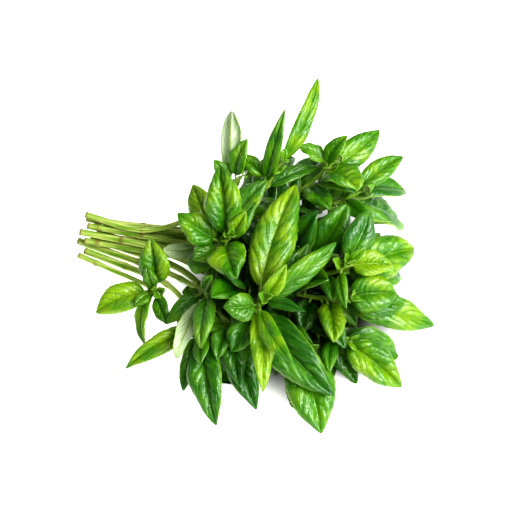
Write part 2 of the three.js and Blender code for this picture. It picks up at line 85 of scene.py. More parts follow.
LAYER_STEP = 5.3
LOW = STEM_RADIUS_AT_CUT * math.cos(math.pi / STEM_SIDES)
MIDDLE = LOW + LAYER_STEP
HIGH = MIDDLE + LAYER_STEP
TOP = HIGH + LAYER_STEP

NECK_REACH = 0.42
TIP_REACH = 0.34
CURVE_STEPS = 60

SWING_RINGS = 5
SWINGS_IN_RING = 8
GIVEN_SWING = math.radians(5)
RULED_SWING = math.radians(6)
SIZES_TRIED = (1.0, 0.86, 0.72)

JOINT_SPACING = 6
FIRST_JOINT = 10
BARE_LENGTH = 50
YOUNG_DISTANCE = 2
YOUNG_LENGTH = 12
YOUNG_OPEN = math.radians(24)
GOLDEN_ANGLE = math.pi * (3 - math.sqrt(5))
USUAL_LEAF = 44
LONGEST_LEAF = 64
WIDTH_TO_LENGTH = 0.5
OUTWARD_PULL = 0.3
SPRIG_SEED = 1000
YOUNG_SEED = 500
SHELL_SEED = 20000


@dataclass(frozen=True)
class Shell:
    """A shell of the heap that leaves reach for.

    size: its share of the heap's reach. leaves: how many points are spread over it.
    """

    size: float
    leaves: int


SHELLS = (Shell(0.94, 150), Shell(0.78, 130), Shell(0.6, 110))


@dataclass(frozen=True)
class Sprig:
    """Where a leafy stem is cut, leaves the bundle and ends, and its listed leaves.

    cut, neck: points in mm. tip: the bud, across, up and height. rise: how steeply the stem meets
    it. leaves: distance of the joint from the bud, the tip's across, up and height, width and roll.
    """

    name: str
    cut: tuple[float, float, float]
    neck: tuple[float, float, float]
    tip: tuple[float, float, float]
    rise: float
    leaves: tuple[tuple[float, float, float, float, float, float], ...]


SPRIGS = (
    Sprig("front_crown", (-117, 40.5, HIGH), (-63, 27, HIGH), (7, -4, 56), 0.8, (
        (14, 29, 71, 74, 32, -10),
        (10, 55, 33, 68, 18, 35),
        (16, 7, -63, 34, 17, -25),
        (10, 27, -46, 50, 13, 10),
        (8, -15, -18, 52, 19, 0),
        (8, 24, 20, 66, 13, 20),
        (6, 37, -13, 58, 9, 0),
        (20, 37, 32, 58, 16, 15),
        (30, 53, -66, 20, 30, 0),
        (22, -13, -38, 34, 22, 0),
        (36, 22, -44, 28, 16, 0),
    )),
    Sprig("left_crown", (-112, 45.3, HIGH), (-60, 34, HIGH), (-15, 37, 60), 0.8, (
        (12, -21, 84, 84, 27, 0),
        (16, -49, 52, 62, 22, 0),
        (8, -10, 9, 60, 27, 0),
        (20, -39, 21, 46, 20, 0),
        (26, 10, 74, 70, 22, 0),
        (6, 0, 53, 70, 13, 20),
        (30, -36, 74, 56, 20, 0),
        (34, -37, 12, 38, 20, 0),
        (34, -11, 0, 34, 20, 0),
        (44, -59, 28, 36, 11, 150),
    )),
    Sprig("right_crown", (-110, 42.1, MIDDLE), (-61, 33.5, MIDDLE), (62, 19, 58), 0.7, (
        (14, 108, 29, 36, 32, 0),
        (46, 63, 58, 66, 26, 0),
        (6, 92, 18, 50, 19, 0),
        (4, 74, 29, 68, 7, 0),
        (18, 84, 42, 46, 16, 0),
        (8, 61, -10, 52, 11, 60),
        (10, 52, 22, 66, 9, 0),
    )),
    Sprig("back_crown", (-113, 51.6, HIGH), (-58, 41, HIGH), (19, 86, 72), 0.75, (
        (8, 44, 143, 97, 13, 40),
        (26, 29, 124, 92, 12, 0),
        (20, -5, 94, 74, 14, 0),
        (8, 20, 80, 68, 14, 0),
        (30, 46, 83, 60, 12, 0),
    )),
    Sprig("back_right", (-100, 52.8, MIDDLE), (-57, 46.5, MIDDLE), (54, 86, 66), 0.6, (
        (10, 70, 67, 70, 30, 0),
        (6, 32, 98, 74, 15, 0),
        (14, 86, 109, 62, 20, 30),
        (20, 90, 96, 54, 20, 0),
        (8, 68, 104, 76, 12, 0),
        (30, 52, 54, 56, 20, 0),
    )),
    Sprig("right_back", (-106, 47.6, MIDDLE), (-59, 40, MIDDLE), (73, 67, 50), 0.4, (
        (8, 102, 91, 50, 17, 0),
        (14, 79, 49, 56, 12, 50),
        (8, 81, 66, 56, 9, 160),
        (22, 92, 67, 34, 14, 0),
        (18, 93, 47, 40, 12, 130),
    )),
    Sprig("right_front", (-114, 36.8, MIDDLE), (-64, 27, MIDDLE), (63, -3, 44), 0.5, (
        (8, 94, 0, 44, 28, 0),
        (16, 121, -22, 10, 23, 0),
        (22, 55, -24, 46, 20, 0),
        (14, 80, -28, 22, 16, 0),
        (22, 99, -30, 12, 14, 0),
        (26, 60, -38, 24, 14, 0),
        (34, 36, -22, 38, 22, 0),
    )),
    Sprig("left_front", (-119, 40.7, LOW), (-66, 18, LOW), (-25, 1, 42), 0.6, (
        (8, -48, -45, 30, 14, 130),
        (6, -33, -36, 36, 17, 10),
        (12, -21, 14, 54, 10, 0),
        (20, -57, -21, 18, 13, 0),
        (36, -49, -20, 18, 16, 0),
    )),
    Sprig("front_foot", (-114, 32.5, LOW), (-69, 11.5, LOW), (-31, -30, 24), 0.35, (
        (12, -83, -50, 8, 15, 0),
        (8, -23, -86, 3, 25, 0),
        (16, -65, -27, 14, 14, 0),
        (6, -29, -50, 24, 13, 0),
        (14, -47, -61, 12, 12, 0),
        (12, -39, -65, 8, 13, 0),
    )),
    Sprig("left_low", (-118, 28.6, LOW), (-73, 5, LOW), (-63, 0, 22), 0.55, (
        (8, -67, 36, 44, 24, 15),
        (12, -104, -14, 6, 23, 0),
        (14, -70, -35, 8, 16, 15),
        (6, -68, 19, 34, 11, 10),
        (10, -56, -21, 14, 13, 0),
        (5, -78, -9, 20, 10, 0),
    )),
    Sprig("front_left", (-110, 43, LOW), (-63, 24.5, LOW), (-13, -20, 34), 0.5, (
        (14, 3, -76, 6, 22, 0),
        (8, -8, -61, 18, 18, 0),
        (5, -24, -42, 32, 14, 0),
        (12, -34, -28, 32, 14, 0),
    )),
    Sprig("front_low", (-106, 47.7, LOW), (-61, 31, LOW), (35, -35, 26), 0.35, (
        (10, 45, -91, 2, 34, 0),
        (24, 15, -60, 14, 18, 0),
    )),
    Sprig("front_right", (-102, 52.5, LOW), (-59, 37.5, LOW), (62, -31, 24), 0.3, (
        (8, 98, -62, 3, 25, 0),
        (10, 50, -51, 26, 11, 30),
        (24, 69, -55, 14, 17, 0),
    )),
    Sprig("back_left", (-113, 51, TOP), (-90, 42, TOP), (-6, 78, 58), 0.6, (
        (14, -14, 115, 98, 16, 180),
        (12, -26, 88, 60, 12, 0),
        (8, 3, 102, 70, 15, 0),
    )),
)


# ------------------------------------------------------------------------------------------------
# Sizes of the fine pieces
# ------------------------------------------------------------------------------------------------

# A wave's cycle in radians, to two places.
CYCLE = 6.28
FINE_THICKNESS = 0.5
LOWEST = 0.1
WELD = 2e-6
# Where in the heap's reach the painted shade of inner leaves starts, and over what share it deepens.
SHADE_STARTS = 0.8
SHADE_DEEPENS = 0.4
STALK_SIDES = 8
STREAK_LENGTH = 48.0
TONE_SEED = 5_000_000
STEM_SEED = 6_000_000
BLADE_SEED = 7_000_000
BUD_SEED = 8_000_000
AXIL_SEED = 9_000_000

# How bright the green of each leaf is, 0 to 1, in the order of the leaves in SPRIGS: partly the
# leaf's own tone, partly painted light and shade for how brightly each leaf is lit.
TONES = {
    "front_crown": (0.8, 0.6, 0.95, 0.55, 0.25, 0.7, 0.1, 0.5, 0.15, 0.35, 0.2),
    "left_crown": (0.5, 0.55, 0.55, 0.45, 0.6, 0.85, 0.9, 0.3, 0.4, 0.6),
    "right_crown": (0.6, 0.15, 0.75, 0.5, 0.6, 0.4, 0.5),
    "back_crown": (0.7, 0.3, 0.5, 0.3, 0.4),
    "back_right": (0.55, 0.4, 0.45, 0.6, 0.5, 0.3),
    "right_back": (0.55, 0.4, 0.3, 0.5, 0.5),
    "right_front": (0.6, 0.55, 0.6, 0.5, 0.6, 0.3, 0.2),
    "left_front": (0.5, 0.45, 0.3, 0.4, 0.3),
    "front_foot": (0.7, 0.1, 0.65, 0.25, 0.3, 0.2),
    "left_low": (0.6, 0.9, 0.6, 0.1, 0.3, 0.5),
    "front_left": (0.1, 0.1, 0.2, 0.2),
    "front_low": (0.35, 0.2),
    "front_right": (0.6, 0.3, 0.4),
    "back_left": (1.0, 0.5, 0.4),
}
# Tones drawn for the leaves that fill the heap; the inner ones are drawn darker, as painted shade inside the
# heap.
OUTER_TONES = (0.1, 0.5)
INNER_TONES = (0.0, 0.25)

# ------------------------------------------------------------------------------------------------
# How the leafy stems grow
# ------------------------------------------------------------------------------------------------


def place(across: float, up: float, height: float) -> np.ndarray:
    """Returns the point that lies so far across and up an oblique elevation, at a height."""
    back = (up - height * math.cos(SIGHT_ANGLE)) / math.sin(SIGHT_ANGLE)
    return np.array([across, back, height], dtype=float)


def unit(vector: np.ndarray) -> np.ndarray:
    """Returns the vector at length 1."""
    return vector / np.linalg.norm(vector)


def square_to(vector: np.ndarray, axis: np.ndarray) -> np.ndarray:
    """Returns the unit vector nearest to vector that is square to the unit axis."""
    return unit(vector - axis * np.dot(vector, axis))


def turned(vector: np.ndarray, axis: np.ndarray, angle: float) -> np.ndarray:
    """Turns a vector about an axis.

    Args:
        vector: The vector.
        axis: The axis, of length 1.
        angle: The angle in radians.

    Returns:
        The turned vector.
    """
    cosine = math.cos(angle)
    along = axis * np.dot(axis, vector) * (1 - cosine)
    return vector * cosine + np.cross(axis, vector) * math.sin(angle) + along


def clipped(values: np.ndarray) -> np.ndarray:
    """Returns the values kept between 0 and 1."""
    return np.clip(values, 0, 1)


def hump(values: np.ndarray, width: float) -> np.ndarray:
    """Returns a rise to 1 at 0 that falls away over a width on either side."""
    return np.exp(-((values / width) ** 2))


def round_stem(direction: np.ndarray, angle: float) -> np.ndarray:
    """Returns the way that is square to a stem's direction and lies so far round it."""
    return turned(square_to(UP, direction), direction, angle)


def pair_of_ways(direction: np.ndarray, across: np.ndarray, opened: float) -> list[np.ndarray]:
    """Returns the two ways in which a pair of young leaves opens from a stem's direction."""
    return [across * way * math.sin(opened) + direction * math.cos(opened) for way in (1, -1)]


def draws_from(seed: int) -> Iterator[float]:
    """Yields the seeded draws from 0 to 1 that the solids were grown with, by mulberry32.

    Args:
        seed: A whole number, one for each leaf or stem.
    """
    mask = 0xFFFFFFFF
    state = seed & mask
    while True:
        state = (state + 0x6D2B79F5) & mask
        mixed = ((state ^ (state >> 15)) * (1 | state)) & mask
        mixed = ((mixed + (((mixed ^ (mixed >> 7)) * (61 | mixed)) & mask)) & mask) ^ mixed
        yield (mixed ^ (mixed >> 14)) / 4294967296


def between(limits: tuple[float, float], share: float) -> float:
    """Returns the number that lies a share of the way between two limits."""
    return limits[0] + (limits[1] - limits[0]) * share


def stem_radius(distance: float) -> float:
    """Returns a stem's plain radius at a distance from its bud."""
    grown = min(1.0, distance / STEM_TAPER_LENGTH)
    return STEM_RADIUS_AT_BUD + (STEM_RADIUS_AT_CUT - STEM_RADIUS_AT_BUD) * grown**STEM_TAPER_POWER


class StemPath:
    """The middle line of a stem: straight from its cut to its neck, then a Bezier curve."""

    def __init__(self, sprig: Sprig) -> None:
        """Samples the line.

        Args:
            sprig: The leafy stem.
        """
        cut, neck, tip = np.array(sprig.cut), np.array(sprig.neck), place(*sprig.tip)
        span = float(np.linalg.norm(tip - neck))
        outward = tip - neck
        outward[2] = 0
        at_tip = unit(unit(outward) * (1 - sprig.rise) + UP * sprig.rise)
        corners = (neck, neck + unit(neck - cut) * span * NECK_REACH, tip - at_tip * span * TIP_REACH, tip)
        share = np.linspace(0, 1, CURVE_STEPS + 1)[:, None]
        weights = ((1 - share) ** 3, 3 * share * (1 - share) ** 2, 3 * share**2 * (1 - share), share**3)
        curve = sum(weight * corner for weight, corner in zip(weights, corners))
        self.points = np.vstack([cut, curve])
        steps = np.linalg.norm(np.diff(self.points, axis=0), axis=1)
        self.from_tip = np.append(np.cumsum(steps[::-1])[::-1], 0.0)
        self.length = float(self.from_tip[0])

    def at(self, distance: float) -> tuple[np.ndarray, np.ndarray]:
        """Finds a place on the stem.

        Args:
            distance: Millimetres from the bud.

        Returns:
            The point, and the stem's direction there.
        """
        index = len(self.points) - 2
        while index > 0 and self.from_tip[index] < distance:
            index -= 1
        start, end = self.points[index], self.points[index + 1]
        share = (self.from_tip[index] - distance) / (self.from_tip[index] - self.from_tip[index + 1])
        return start + (end - start) * share, unit(end - start)


@dataclass(frozen=True)
class Wish:
    """A leaf as it is wanted, before it is swung clear of its neighbours."""

    root: np.ndarray
    tip: np.ndarray
    facing: np.ndarray
    width: float
    roll: float
    seed: int


class Leaf:
    """A leaf as it lies: an arched midrib with a blade whose halves swell and whose margin waves.

    The pairs are what its draws choose between: how far its midrib arches and its halves fold up,
    in degrees; how much they bulge; how high its margin waves, how often and from where; its twist
    in degrees; its sideways bend; and the power by which its blade draws in to its point.
    UNTWISTED, WIDEST: where along it the twist is nought, and where along the blade it is widest.
    FOOT_POWER: how the blade widens from its foot. STALK_LENGTH, STALK_GROWTH: the stalk in mm, and
    what each mm of leaf adds. STALK_CLOSING: how fast the stalk's width closes before the point.
    """

    ARCH = (34, 64)
    FOLD = (-4, 20)
    BULGE = (0.09, 0.16)
    WAVE_HEIGHT = (0.05, 0.1)
    WAVES = (1.6, 2.8)
    WAVE_START = (0, 2 * math.pi)
    TWIST = (-25, 25)
    SICKLE = (-0.25, 0.25)
    TAPER = (0.64, 0.94)
    UNTWISTED = 0.45
    WIDEST = 0.36
    FOOT_POWER = 0.5
    STALK_LENGTH = 3.5
    STALK_GROWTH = 0.1
    STALK_CLOSING = 4

    def __init__(self, wish: Wish, tip: np.ndarray, size: float) -> None:
        """Works out the leaf's bend.

        Args:
            wish: The leaf as wanted.
            tip: Where its point has come to.
            size: Its share of the wanted width.
        """
        draw = draws_from(wish.seed)
        self.seed = wish.seed
        self.arch = math.radians(between(self.ARCH, next(draw)))
        self.fold = math.radians(between(self.FOLD, next(draw)))
        self.bulge = between(self.BULGE, next(draw))
        self.wave = between(self.WAVE_HEIGHT, next(draw))
        self.waves = between(self.WAVES, next(draw))
        self.phase = between(self.WAVE_START, next(draw))
        self.twist = math.radians(between(self.TWIST, next(draw)))
        self.sickle = between(self.SICKLE, next(draw))
        self.taper = between(self.TAPER, next(draw))
        self.root = wish.root
        self.chord = float(np.linalg.norm(tip - wish.root))
        self.along = unit(tip - wish.root)
        self.upright = turned(square_to(wish.facing, self.along), self.along, math.radians(wish.roll))
        self.side = np.cross(self.upright, self.along)
        self.length = self.chord * self.arch / 2 / math.sin(self.arch / 2)
        self.half_width = wish.width * size / 2
        self.stalk = (self.STALK_LENGTH + self.STALK_GROWTH * self.length) / self.length

    def midrib(self, share: np.ndarray) -> tuple[np.ndarray, np.ndarray, np.ndarray]:
        """Works out the midrib.

        Args:
            share: Shares of the way from joint to tip.

        Returns:
            The points, normals and sideways directions there.
        """
        radius = self.length / self.arch
        turn = (self.arch * (share - 0.5))[:, None]
        point = self.root + self.along * (self.chord / 2 + radius * np.sin(turn))
        point = point + self.upright * radius * (np.cos(turn) - math.cos(self.arch / 2))
        point = point + self.side * (self.sickle * self.length * share * (1 - share))[:, None]
        plain = self.upright * np.cos(turn) + self.along * np.sin(turn)
        twist = (self.twist * (share - self.UNTWISTED))[:, None]
        normal = plain * np.cos(twist) - self.side * np.sin(twist)
        return point, normal, self.side * np.cos(twist) + plain * np.sin(twist)

    def surface(self, blade: np.ndarray, across: np.ndarray) -> tuple[np.ndarray, np.ndarray, np.ndarray]:
        """Works out points of the blade's middle surface.

        Args:
            blade: Shares from the blade's foot to its point.
            across: Shares from one margin, -1, to the other, 1.

        Returns:
            The points, the normals of the midrib there, and the blade's half widths.
        """
        point, normal, side = self.midrib(self.stalk + (1 - self.stalk) * blade)
        drawn_in = (np.maximum(0, 1 - blade) / (1 - self.WIDEST)) ** self.taper
        broad = self.half_width * ((blade / self.WIDEST) ** self.FOOT_POWER * drawn_in)
        half = np.maximum(broad, STALK_WIDTH / 2 * np.minimum(1, (1 - blade) * self.STALK_CLOSING))
        out = np.abs(across)
        ripple = self.wave * np.sin(2 * math.pi * self.waves * blade + self.phase + across) * out**3
        swell = math.sin(self.fold) * out + self.bulge * np.sin(np.pi * out) + ripple
        point = point + side * (across * half * math.cos(self.fold))[:, None]
        return point + normal * (broad * swell)[:, None], normal, broad


class NodeMatch:
    """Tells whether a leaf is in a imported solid, by the two corners of its point.

    NEAR: how near a corner has to be, in mm.
    """

    NEAR = 0.02

    def __init__(self, node: bpy.types.Object) -> None:
        """Sorts the solid's corners.

        Args:
            node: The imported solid.
        """
        self.corners = KDTree(len(node.data.vertices))
        for index, vertex in enumerate(node.data.vertices):
            self.corners.insert(vertex.co, index)
        self.corners.balance()

    def holds(self, leaf: Leaf, tip: np.ndarray) -> bool:
        """Looks for a leaf's point in the solid.

        Args:
            leaf: The leaf.
            tip: Where its point has come to.

        Returns:
            Whether both corners of the point are there.
        """
        point, normal = tip, leaf.midrib(np.ones(1))[1][0]
        if point[2] < BLADE_THICKNESS / 2:
            point, normal = np.array([point[0], point[1], BLADE_THICKNESS / 2]), UP
        for way in (1, -1):
            corner = (point + normal * way * BLADE_THICKNESS / 2 - FOOTPRINT_MIDDLE) * MM
            if self.corners.find(Vector(corner))[2] > self.NEAR * MM:
                return False
        return True


@dataclass
class GrownSprig:
    """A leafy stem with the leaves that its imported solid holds.

    first_way: the angle of its first pair of young leaves round the stem. free_joints: distances
    from the bud of the joints that bear no leaf yet.
    """

    sprig: Sprig
    number: int
    path: StemPath
    match: NodeMatch
    first_way: float
    free_joints: list[int]
    leaves: list[Leaf] = field(default_factory=list)

    def grow(self, wish: Wish, swing: float) -> bool:
        """Finds the way in which a wanted leaf was grown, if it was.

        Args:
            wish: The leaf as wanted.
            swing: The angle between rings of tries.

        Returns:
            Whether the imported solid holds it.
        """
        reach = wish.tip - wish.root
        side = unit(np.cross(wish.facing, reach))
        for size in SIZES_TRIED:
            for ring in range(SWING_RINGS + 1):
                for turn in range(SWINGS_IN_RING if ring else 1):
                    way = 2 * math.pi * turn / SWINGS_IN_RING
                    tip = turned(reach * size, side, -ring * swing * math.cos(way))
                    tip = turned(tip, wish.facing, ring * swing * math.sin(way)) + wish.root
                    leaf = Leaf(wish, tip, size)
                    if self.match.holds(leaf, tip):
                        self.leaves.append(leaf)
                        return True
        return False

    def grow_given(self) -> None:
        """Grows the listed leaves."""
        for index, (distance, across, up, height, width, roll) in enumerate(self.sprig.leaves):
            root = self.path.at(distance)[0]
            tip = place(across, up, height)
            facing = unit(unit((root + tip) / 2 - HEAP_CORE) + LIGHT_WAY * LIGHT_PULL)
            self.grow(Wish(root, tip, facing, width, roll, SPRIG_SEED * self.number + index), GIVEN_SWING)

    def grow_young(self) -> None:
        """Grows the two young leaves by the bud."""
        root, direction = self.path.at(YOUNG_DISTANCE)
        across = round_stem(direction, self.first_way)
        width = YOUNG_LENGTH * WIDTH_TO_LENGTH
        for side, reach in enumerate(pair_of_ways(direction, across, YOUNG_OPEN)):
            seed = SPRIG_SEED * self.number + YOUNG_SEED + side + 1
            self.grow(Wish(root, root + reach * YOUNG_LENGTH, direction, width, 0, seed), GIVEN_SWING)


def shell_point(shell: Shell, number: int) -> np.ndarray:
    """Finds one of the points that are spread evenly over a shell of the heap.

    Args:
        shell: The shell.
        number: The point's number.

    Returns:
        The point.
    """
    height = (number + 0.5) / shell.leaves
    level = math.sqrt(1 - height * height)
    way = number * GOLDEN_ANGLE
    ray = np.array([level * math.cos(way), level * math.sin(way), height])
    return HEAP_MIDDLE + HEAP_REACH * shell.size * ray


def joint_for(sprigs: Sequence[GrownSprig], tip: np.ndarray) -> tuple[GrownSprig, np.ndarray, int] | None:
    """Finds the joint that a leaf with this tip grows from.

    Args:
        sprigs: The leafy stems.
        tip: The leaf's tip.

    Returns:
        The stem, the joint's point and its distance from the bud, or None where none is near.
    """
    outward = unit(tip - HEAP_CORE)
    best, least = None, math.inf
    for grown in sprigs:
        for distance in grown.free_joints:
            root = grown.path.at(distance)[0]
            reach = tip - root
            length = float(np.linalg.norm(reach))
            misfit = abs(length - USUAL_LEAF) - OUTWARD_PULL * float(np.dot(reach, outward))
            if length < LONGEST_LEAF and misfit < least:
                best, least = (grown, root, distance), misfit
    return best


def grow_bunch(nodes: dict[str, bpy.types.Object]) -> list[GrownSprig]:
    """Grows the whole bunch again, leaf by leaf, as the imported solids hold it.

    Args:
        nodes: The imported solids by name.

    Returns:
        The leafy stems with their leaves.
    """
    bunch = []
    for number, sprig in enumerate(SPRIGS):
        path = StemPath(sprig)
        first_way = math.pi * next(draws_from(SPRIG_SEED * number + YOUNG_SEED))
        joints = list(np.arange(FIRST_JOINT, path.length - BARE_LENGTH, JOINT_SPACING))
        bunch.append(GrownSprig(sprig, number, path, NodeMatch(nodes[sprig.name]), first_way, joints))
    for grown in bunch:
        grown.grow_given()
        grown.grow_young()
    for layer, shell in enumerate(SHELLS):
        for number in range(shell.leaves):
            tip = shell_point(shell, number)
            found = joint_for(bunch, tip)
            if found is None:
                continue
            grown, root, distance = found
            facing = unit((root + tip) / 2 - HEAP_CORE)
            width = float(np.linalg.norm(tip - root)) * WIDTH_TO_LENGTH
            seed = SHELL_SEED * (layer + 1) + number
            if grown.grow(Wish(root, tip, facing, width, 0, seed), RULED_SWING):
                grown.free_joints.remove(distance)
    return bunch


# ------------------------------------------------------------------------------------------------
# Shader maths and finishes
# ------------------------------------------------------------------------------------------------


class Value:
    """A number in a shader. An expression on values adds its Math nodes."""

    def __init__(self, paint: "Paint", socket: bpy.types.NodeSocket) -> None:
        """Wraps a socket of the material that paint builds."""
        self.paint = paint
        self.socket = socket

    def math(self, operation: str, *others: Any) -> "Value":
        """Returns the result of a Math node on this value and others."""
        inputs = {index: other for index, other in enumerate((self, *others))}
        return Value(self.paint, self.paint.node("ShaderNodeMath", {"operation": operation}, inputs))

    def __add__(self, other: Any) -> "Value":
        """Adds."""
        return self.math("ADD", other)

    __radd__ = __add__

    def __mul__(self, other: Any) -> "Value":
        """Multiplies."""
        return self.math("MULTIPLY", other)

    __rmul__ = __mul__

    def __sub__(self, other: Any) -> "Value":
        """Subtracts."""
        return self.math("SUBTRACT", other)

    def __rsub__(self, other: Any) -> "Value":
        """Subtracts this value from a number."""
        return self * -1 + other

    def __truediv__(self, other: Any) -> "Value":
        """Divides."""
        return self.math("DIVIDE", other)

    def __pow__(self, other: Any) -> "Value":
        """Raises to a power."""
        return self.math("POWER", other)

    def __abs__(self) -> "Value":
        """Drops the sign."""
        return self.math("ABSOLUTE")

    def rises(self, start: float, end: float) -> "Value":
        """Makes a smooth step.

        Args:
            start: Where it is 0.
            end: Where it is 1.

        Returns:
            The step.
        """
        inputs = {"Value": self, "From Min": start, "From Max": end}
        settings = {"interpolation_type": "SMOOTHSTEP"}
        return Value(self.paint, self.paint.node("ShaderNodeMapRange", settings, inputs, "Result"))

    def falls(self, start: float, end: float) -> "Value":
        """Returns a smooth step from 1 at start to 0 at end."""
        return 1 - self.rises(start, end)


class Paint:
    """Builds one material's nodes."""

    def __init__(self, name: str) -> None:
        """Starts an empty material.

        Args:
            name: The material's name.
        """
        self.material = bpy.data.materials.new(name)
        self.material.use_nodes = True
        self.tree = self.material.node_tree
        self.tree.nodes.clear()

    def node(self, kind: str, settings: dict[str, Any], inputs: dict[Any, Any], output: Any = 0) -> Any:
        """Adds a node.

        Args:
            kind: The node's type.
            settings: Its properties, set first.
            inputs: Values or links by socket name or index.
            output: The name or index of the socket that is wanted.

        Returns:
            That output socket.
        """
        node = self.tree.nodes.new(kind)
        for name, setting in settings.items():
            setattr(node, name, setting)
        for name, given in inputs.items():
            socket = node.inputs[name]
            if isinstance(given, Value):
                given = given.socket
            if isinstance(given, bpy.types.NodeSocket):
                self.tree.links.new(given, socket)
            else:
                socket.default_value = given
        return node.outputs[output]

    def coordinate(self, output: str) -> bpy.types.NodeSocket:
        """Returns an output of a Texture Coordinate node."""
        return self.node("ShaderNodeTexCoord", {}, {}, output)

    def parts(self, vector: bpy.types.NodeSocket) -> tuple[Value, Value, Value]:
        """Returns the three numbers of a vector."""
        split = self.node("ShaderNodeSeparateXYZ", {}, {"Vector": vector}, "X").node
        return tuple(Value(self, split.outputs[index]) for index in range(3))

    def attribute(self, name: str) -> tuple[Value, Value, Value]:
        """Returns the three numbers of the piece's own attribute."""
        return self.parts(self.node("ShaderNodeAttribute", {"attribute_name": name}, {}, "Vector"))

    def noise(self, size: float, detail: float) -> Value:
        """Returns a noise whose blotches are about so many millimetres across."""
        inputs = {"Vector": self.coordinate("Object"), "Scale": 1 / (size * MM), "Detail": detail}
        return Value(self, self.node("ShaderNodeTexNoise", {}, inputs, "Fac"))

    def mix(self, share: Any, first: Any, second: Any) -> bpy.types.NodeSocket:
        """Mixes two colours.

        Args:
            share: The share of the second.
            first: A colour.
            second: A colour.

        Returns:
            The mixed colour.
        """
        node = self.tree.nodes.new("ShaderNodeMix")
        node.data_type = "RGBA"
        for name, given in (("Factor_Float", share), ("A_Color", first), ("B_Color", second)):
            socket = next(item for item in node.inputs if item.identifier == name)
            given = given.socket if isinstance(given, Value) else given
            if isinstance(given, bpy.types.NodeSocket):
                self.tree.links.new(given, socket)
            else:
                socket.default_value = given
        return next(item for item in node.outputs if item.identifier == "Result_Color")

    def layers(self, ground: Any, *coats: tuple[Any, Any]) -> bpy.types.NodeSocket:
        """Lays colours over a ground in turn.

        Args:
            ground: The colour that the others lie on.
            coats: Each colour's share, and the colour.

        Returns:
            The colour of them all.
        """
        for share, colour in coats:
            ground = self.mix(share, ground, colour)
        return ground

    def bump(self, height: Value, distance: float) -> bpy.types.NodeSocket:
        """Returns a normal that follows a height of so many millimetres."""
        inputs = {"Height": height, "Distance": distance * MM, "Strength": 1.0}
        return self.node("ShaderNodeBump", {}, inputs, "Normal")

    def principled(self, inputs: dict[str, Any]) -> bpy.types.NodeSocket:
        """Returns a Principled shader."""
        return self.node("ShaderNodeBsdfPrincipled", {}, inputs)

    def finish(self, surface: bpy.types.NodeSocket) -> bpy.types.Material:
        """Links the surface to the output.

        Args:
            surface: The shader.

        Returns:
            The material.
        """
        output = self.tree.nodes.new("ShaderNodeOutputMaterial")
        self.tree.links.new(surface, output.inputs["Surface"])
        return self.material


Colour = tuple[float, float, float, float]


def rgb(red: float, green: float, blue: float) -> Colour:
    """Returns an opaque colour."""
    return (red, green, blue, 1.0)


class Side(Enum):
    """The two faces of a blade, and the material index of each."""

    UPPER = 0
    LOWER = 1


@dataclass(frozen=True)
class BladeFinish:
    """The green of a blade's face, with its veins, margin, age and gloss, and with painted light and shade.

    painted_shade, deep, fresh, sunny, young: the dark green painted on leaves inside the heap as the shade
    that falls there, greens of dark, usual and bright leaves outside it, and of a growing leaf.
    vein, margin: their greens. through: the light that comes from behind, and glow its share.
    roughness, gloss: how the face shines. vein_height: how far the green stands above the veins, or
    below them where it is under 0.
    CELLS, MOTTLE, BLOTCHES, GRAIN: the sizes in mm of the pattern's cells and noises.
    """

    CELLS = 2.1
    MOTTLE = 2.6
    BLOTCHES = 16
    GRAIN = 0.8
    BUMP = 0.3

    name: str
    painted_shade: Colour
    deep: Colour
    fresh: Colour
    sunny: Colour
    young: Colour
    vein: Colour
    margin: Colour
    through: Colour
    glow: float
    roughness: float
    gloss: float
    vein_height: float

    def material(self) -> bpy.types.Material:
        """Builds the material.

        Returns:
            The material of a blade's face.
        """
        paint = Paint(self.name)
        count, across, blade = paint.attribute("veins")
        age, tone, depth = paint.attribute("growth")
        out = abs(across)
        off = abs(count.math("FRACT") - 0.5)
        reach = out.falls(0.82, 1.0)
        # Masks of the vein grooves and the fine vein lines in them, where painted shade is laid.
        groove = off.rises(0.38, 0.5) * reach
        line = off.rises(0.44, 0.49) * reach
        midrib = out.falls(0.012, 0.045) * blade.falls(0.8, 1.0)
        # Mask of the swelling between veins, where a painted highlight is laid.
        crest_highlight = off.falls(0.02, 0.3) * out.rises(0.08, 0.3) * reach
        cells = paint.node(
            "ShaderNodeTexVoronoi",
            {"feature": "DISTANCE_TO_EDGE"},
            {"Vector": paint.coordinate("Object"), "Scale": 1 / (self.CELLS * MM)},
            "Distance",
        )
        net = Value(paint, cells).falls(0.0, 0.14)
        blotches = paint.noise(self.BLOTCHES, 2)
        mottle = paint.noise(self.MOTTLE, 3)
        shade = blotches.rises(0.3, 0.7) * 0.5 + tone * 0.8 + (mottle - 0.5) * 0.3 - 0.1
        green = paint.layers(
            self.deep,
            (shade.rises(0.1, 0.6), self.fresh),
            (shade.rises(0.5, 1.0), self.sunny),
            (age * 0.8, self.young),
            # Painted highlight: the swelling between veins is painted lighter.
            (crest_highlight * 0.06, self.sunny),
            # Painted shade: the vein grooves and the fine vein lines sunk in them are painted darker.
            (groove * 0.3, self.deep),
            (line * 0.6, self.deep),
            (net * 0.18, self.deep),
            (midrib * 0.5, self.vein),
            (out.rises(0.91, 0.98) * 0.75, self.margin),
            # Painted shade: leaves deep in the heap are painted dark green, for the shade that falls inside
            # it.
            (depth, self.painted_shade),
        )
        height = (1 - net) * 0.4 + paint.noise(self.GRAIN, 2) * 0.2 + (1 - line) * self.vein_height
        inputs = {
            "Base Color": green,
            "Roughness": mottle * 0.1 + blotches * 0.1 + (self.roughness - 0.1),
            "Normal": paint.bump(height, self.BUMP),
            "Specular IOR Level": self.gloss,
        }
        face = paint.principled(inputs)
        behind = paint.node("ShaderNodeBsdfTranslucent", {}, {"Color": self.through})
        mixed = paint.node("ShaderNodeMixShader", {}, {0: self.glow, 1: face, 2: behind})
        return paint.finish(mixed)


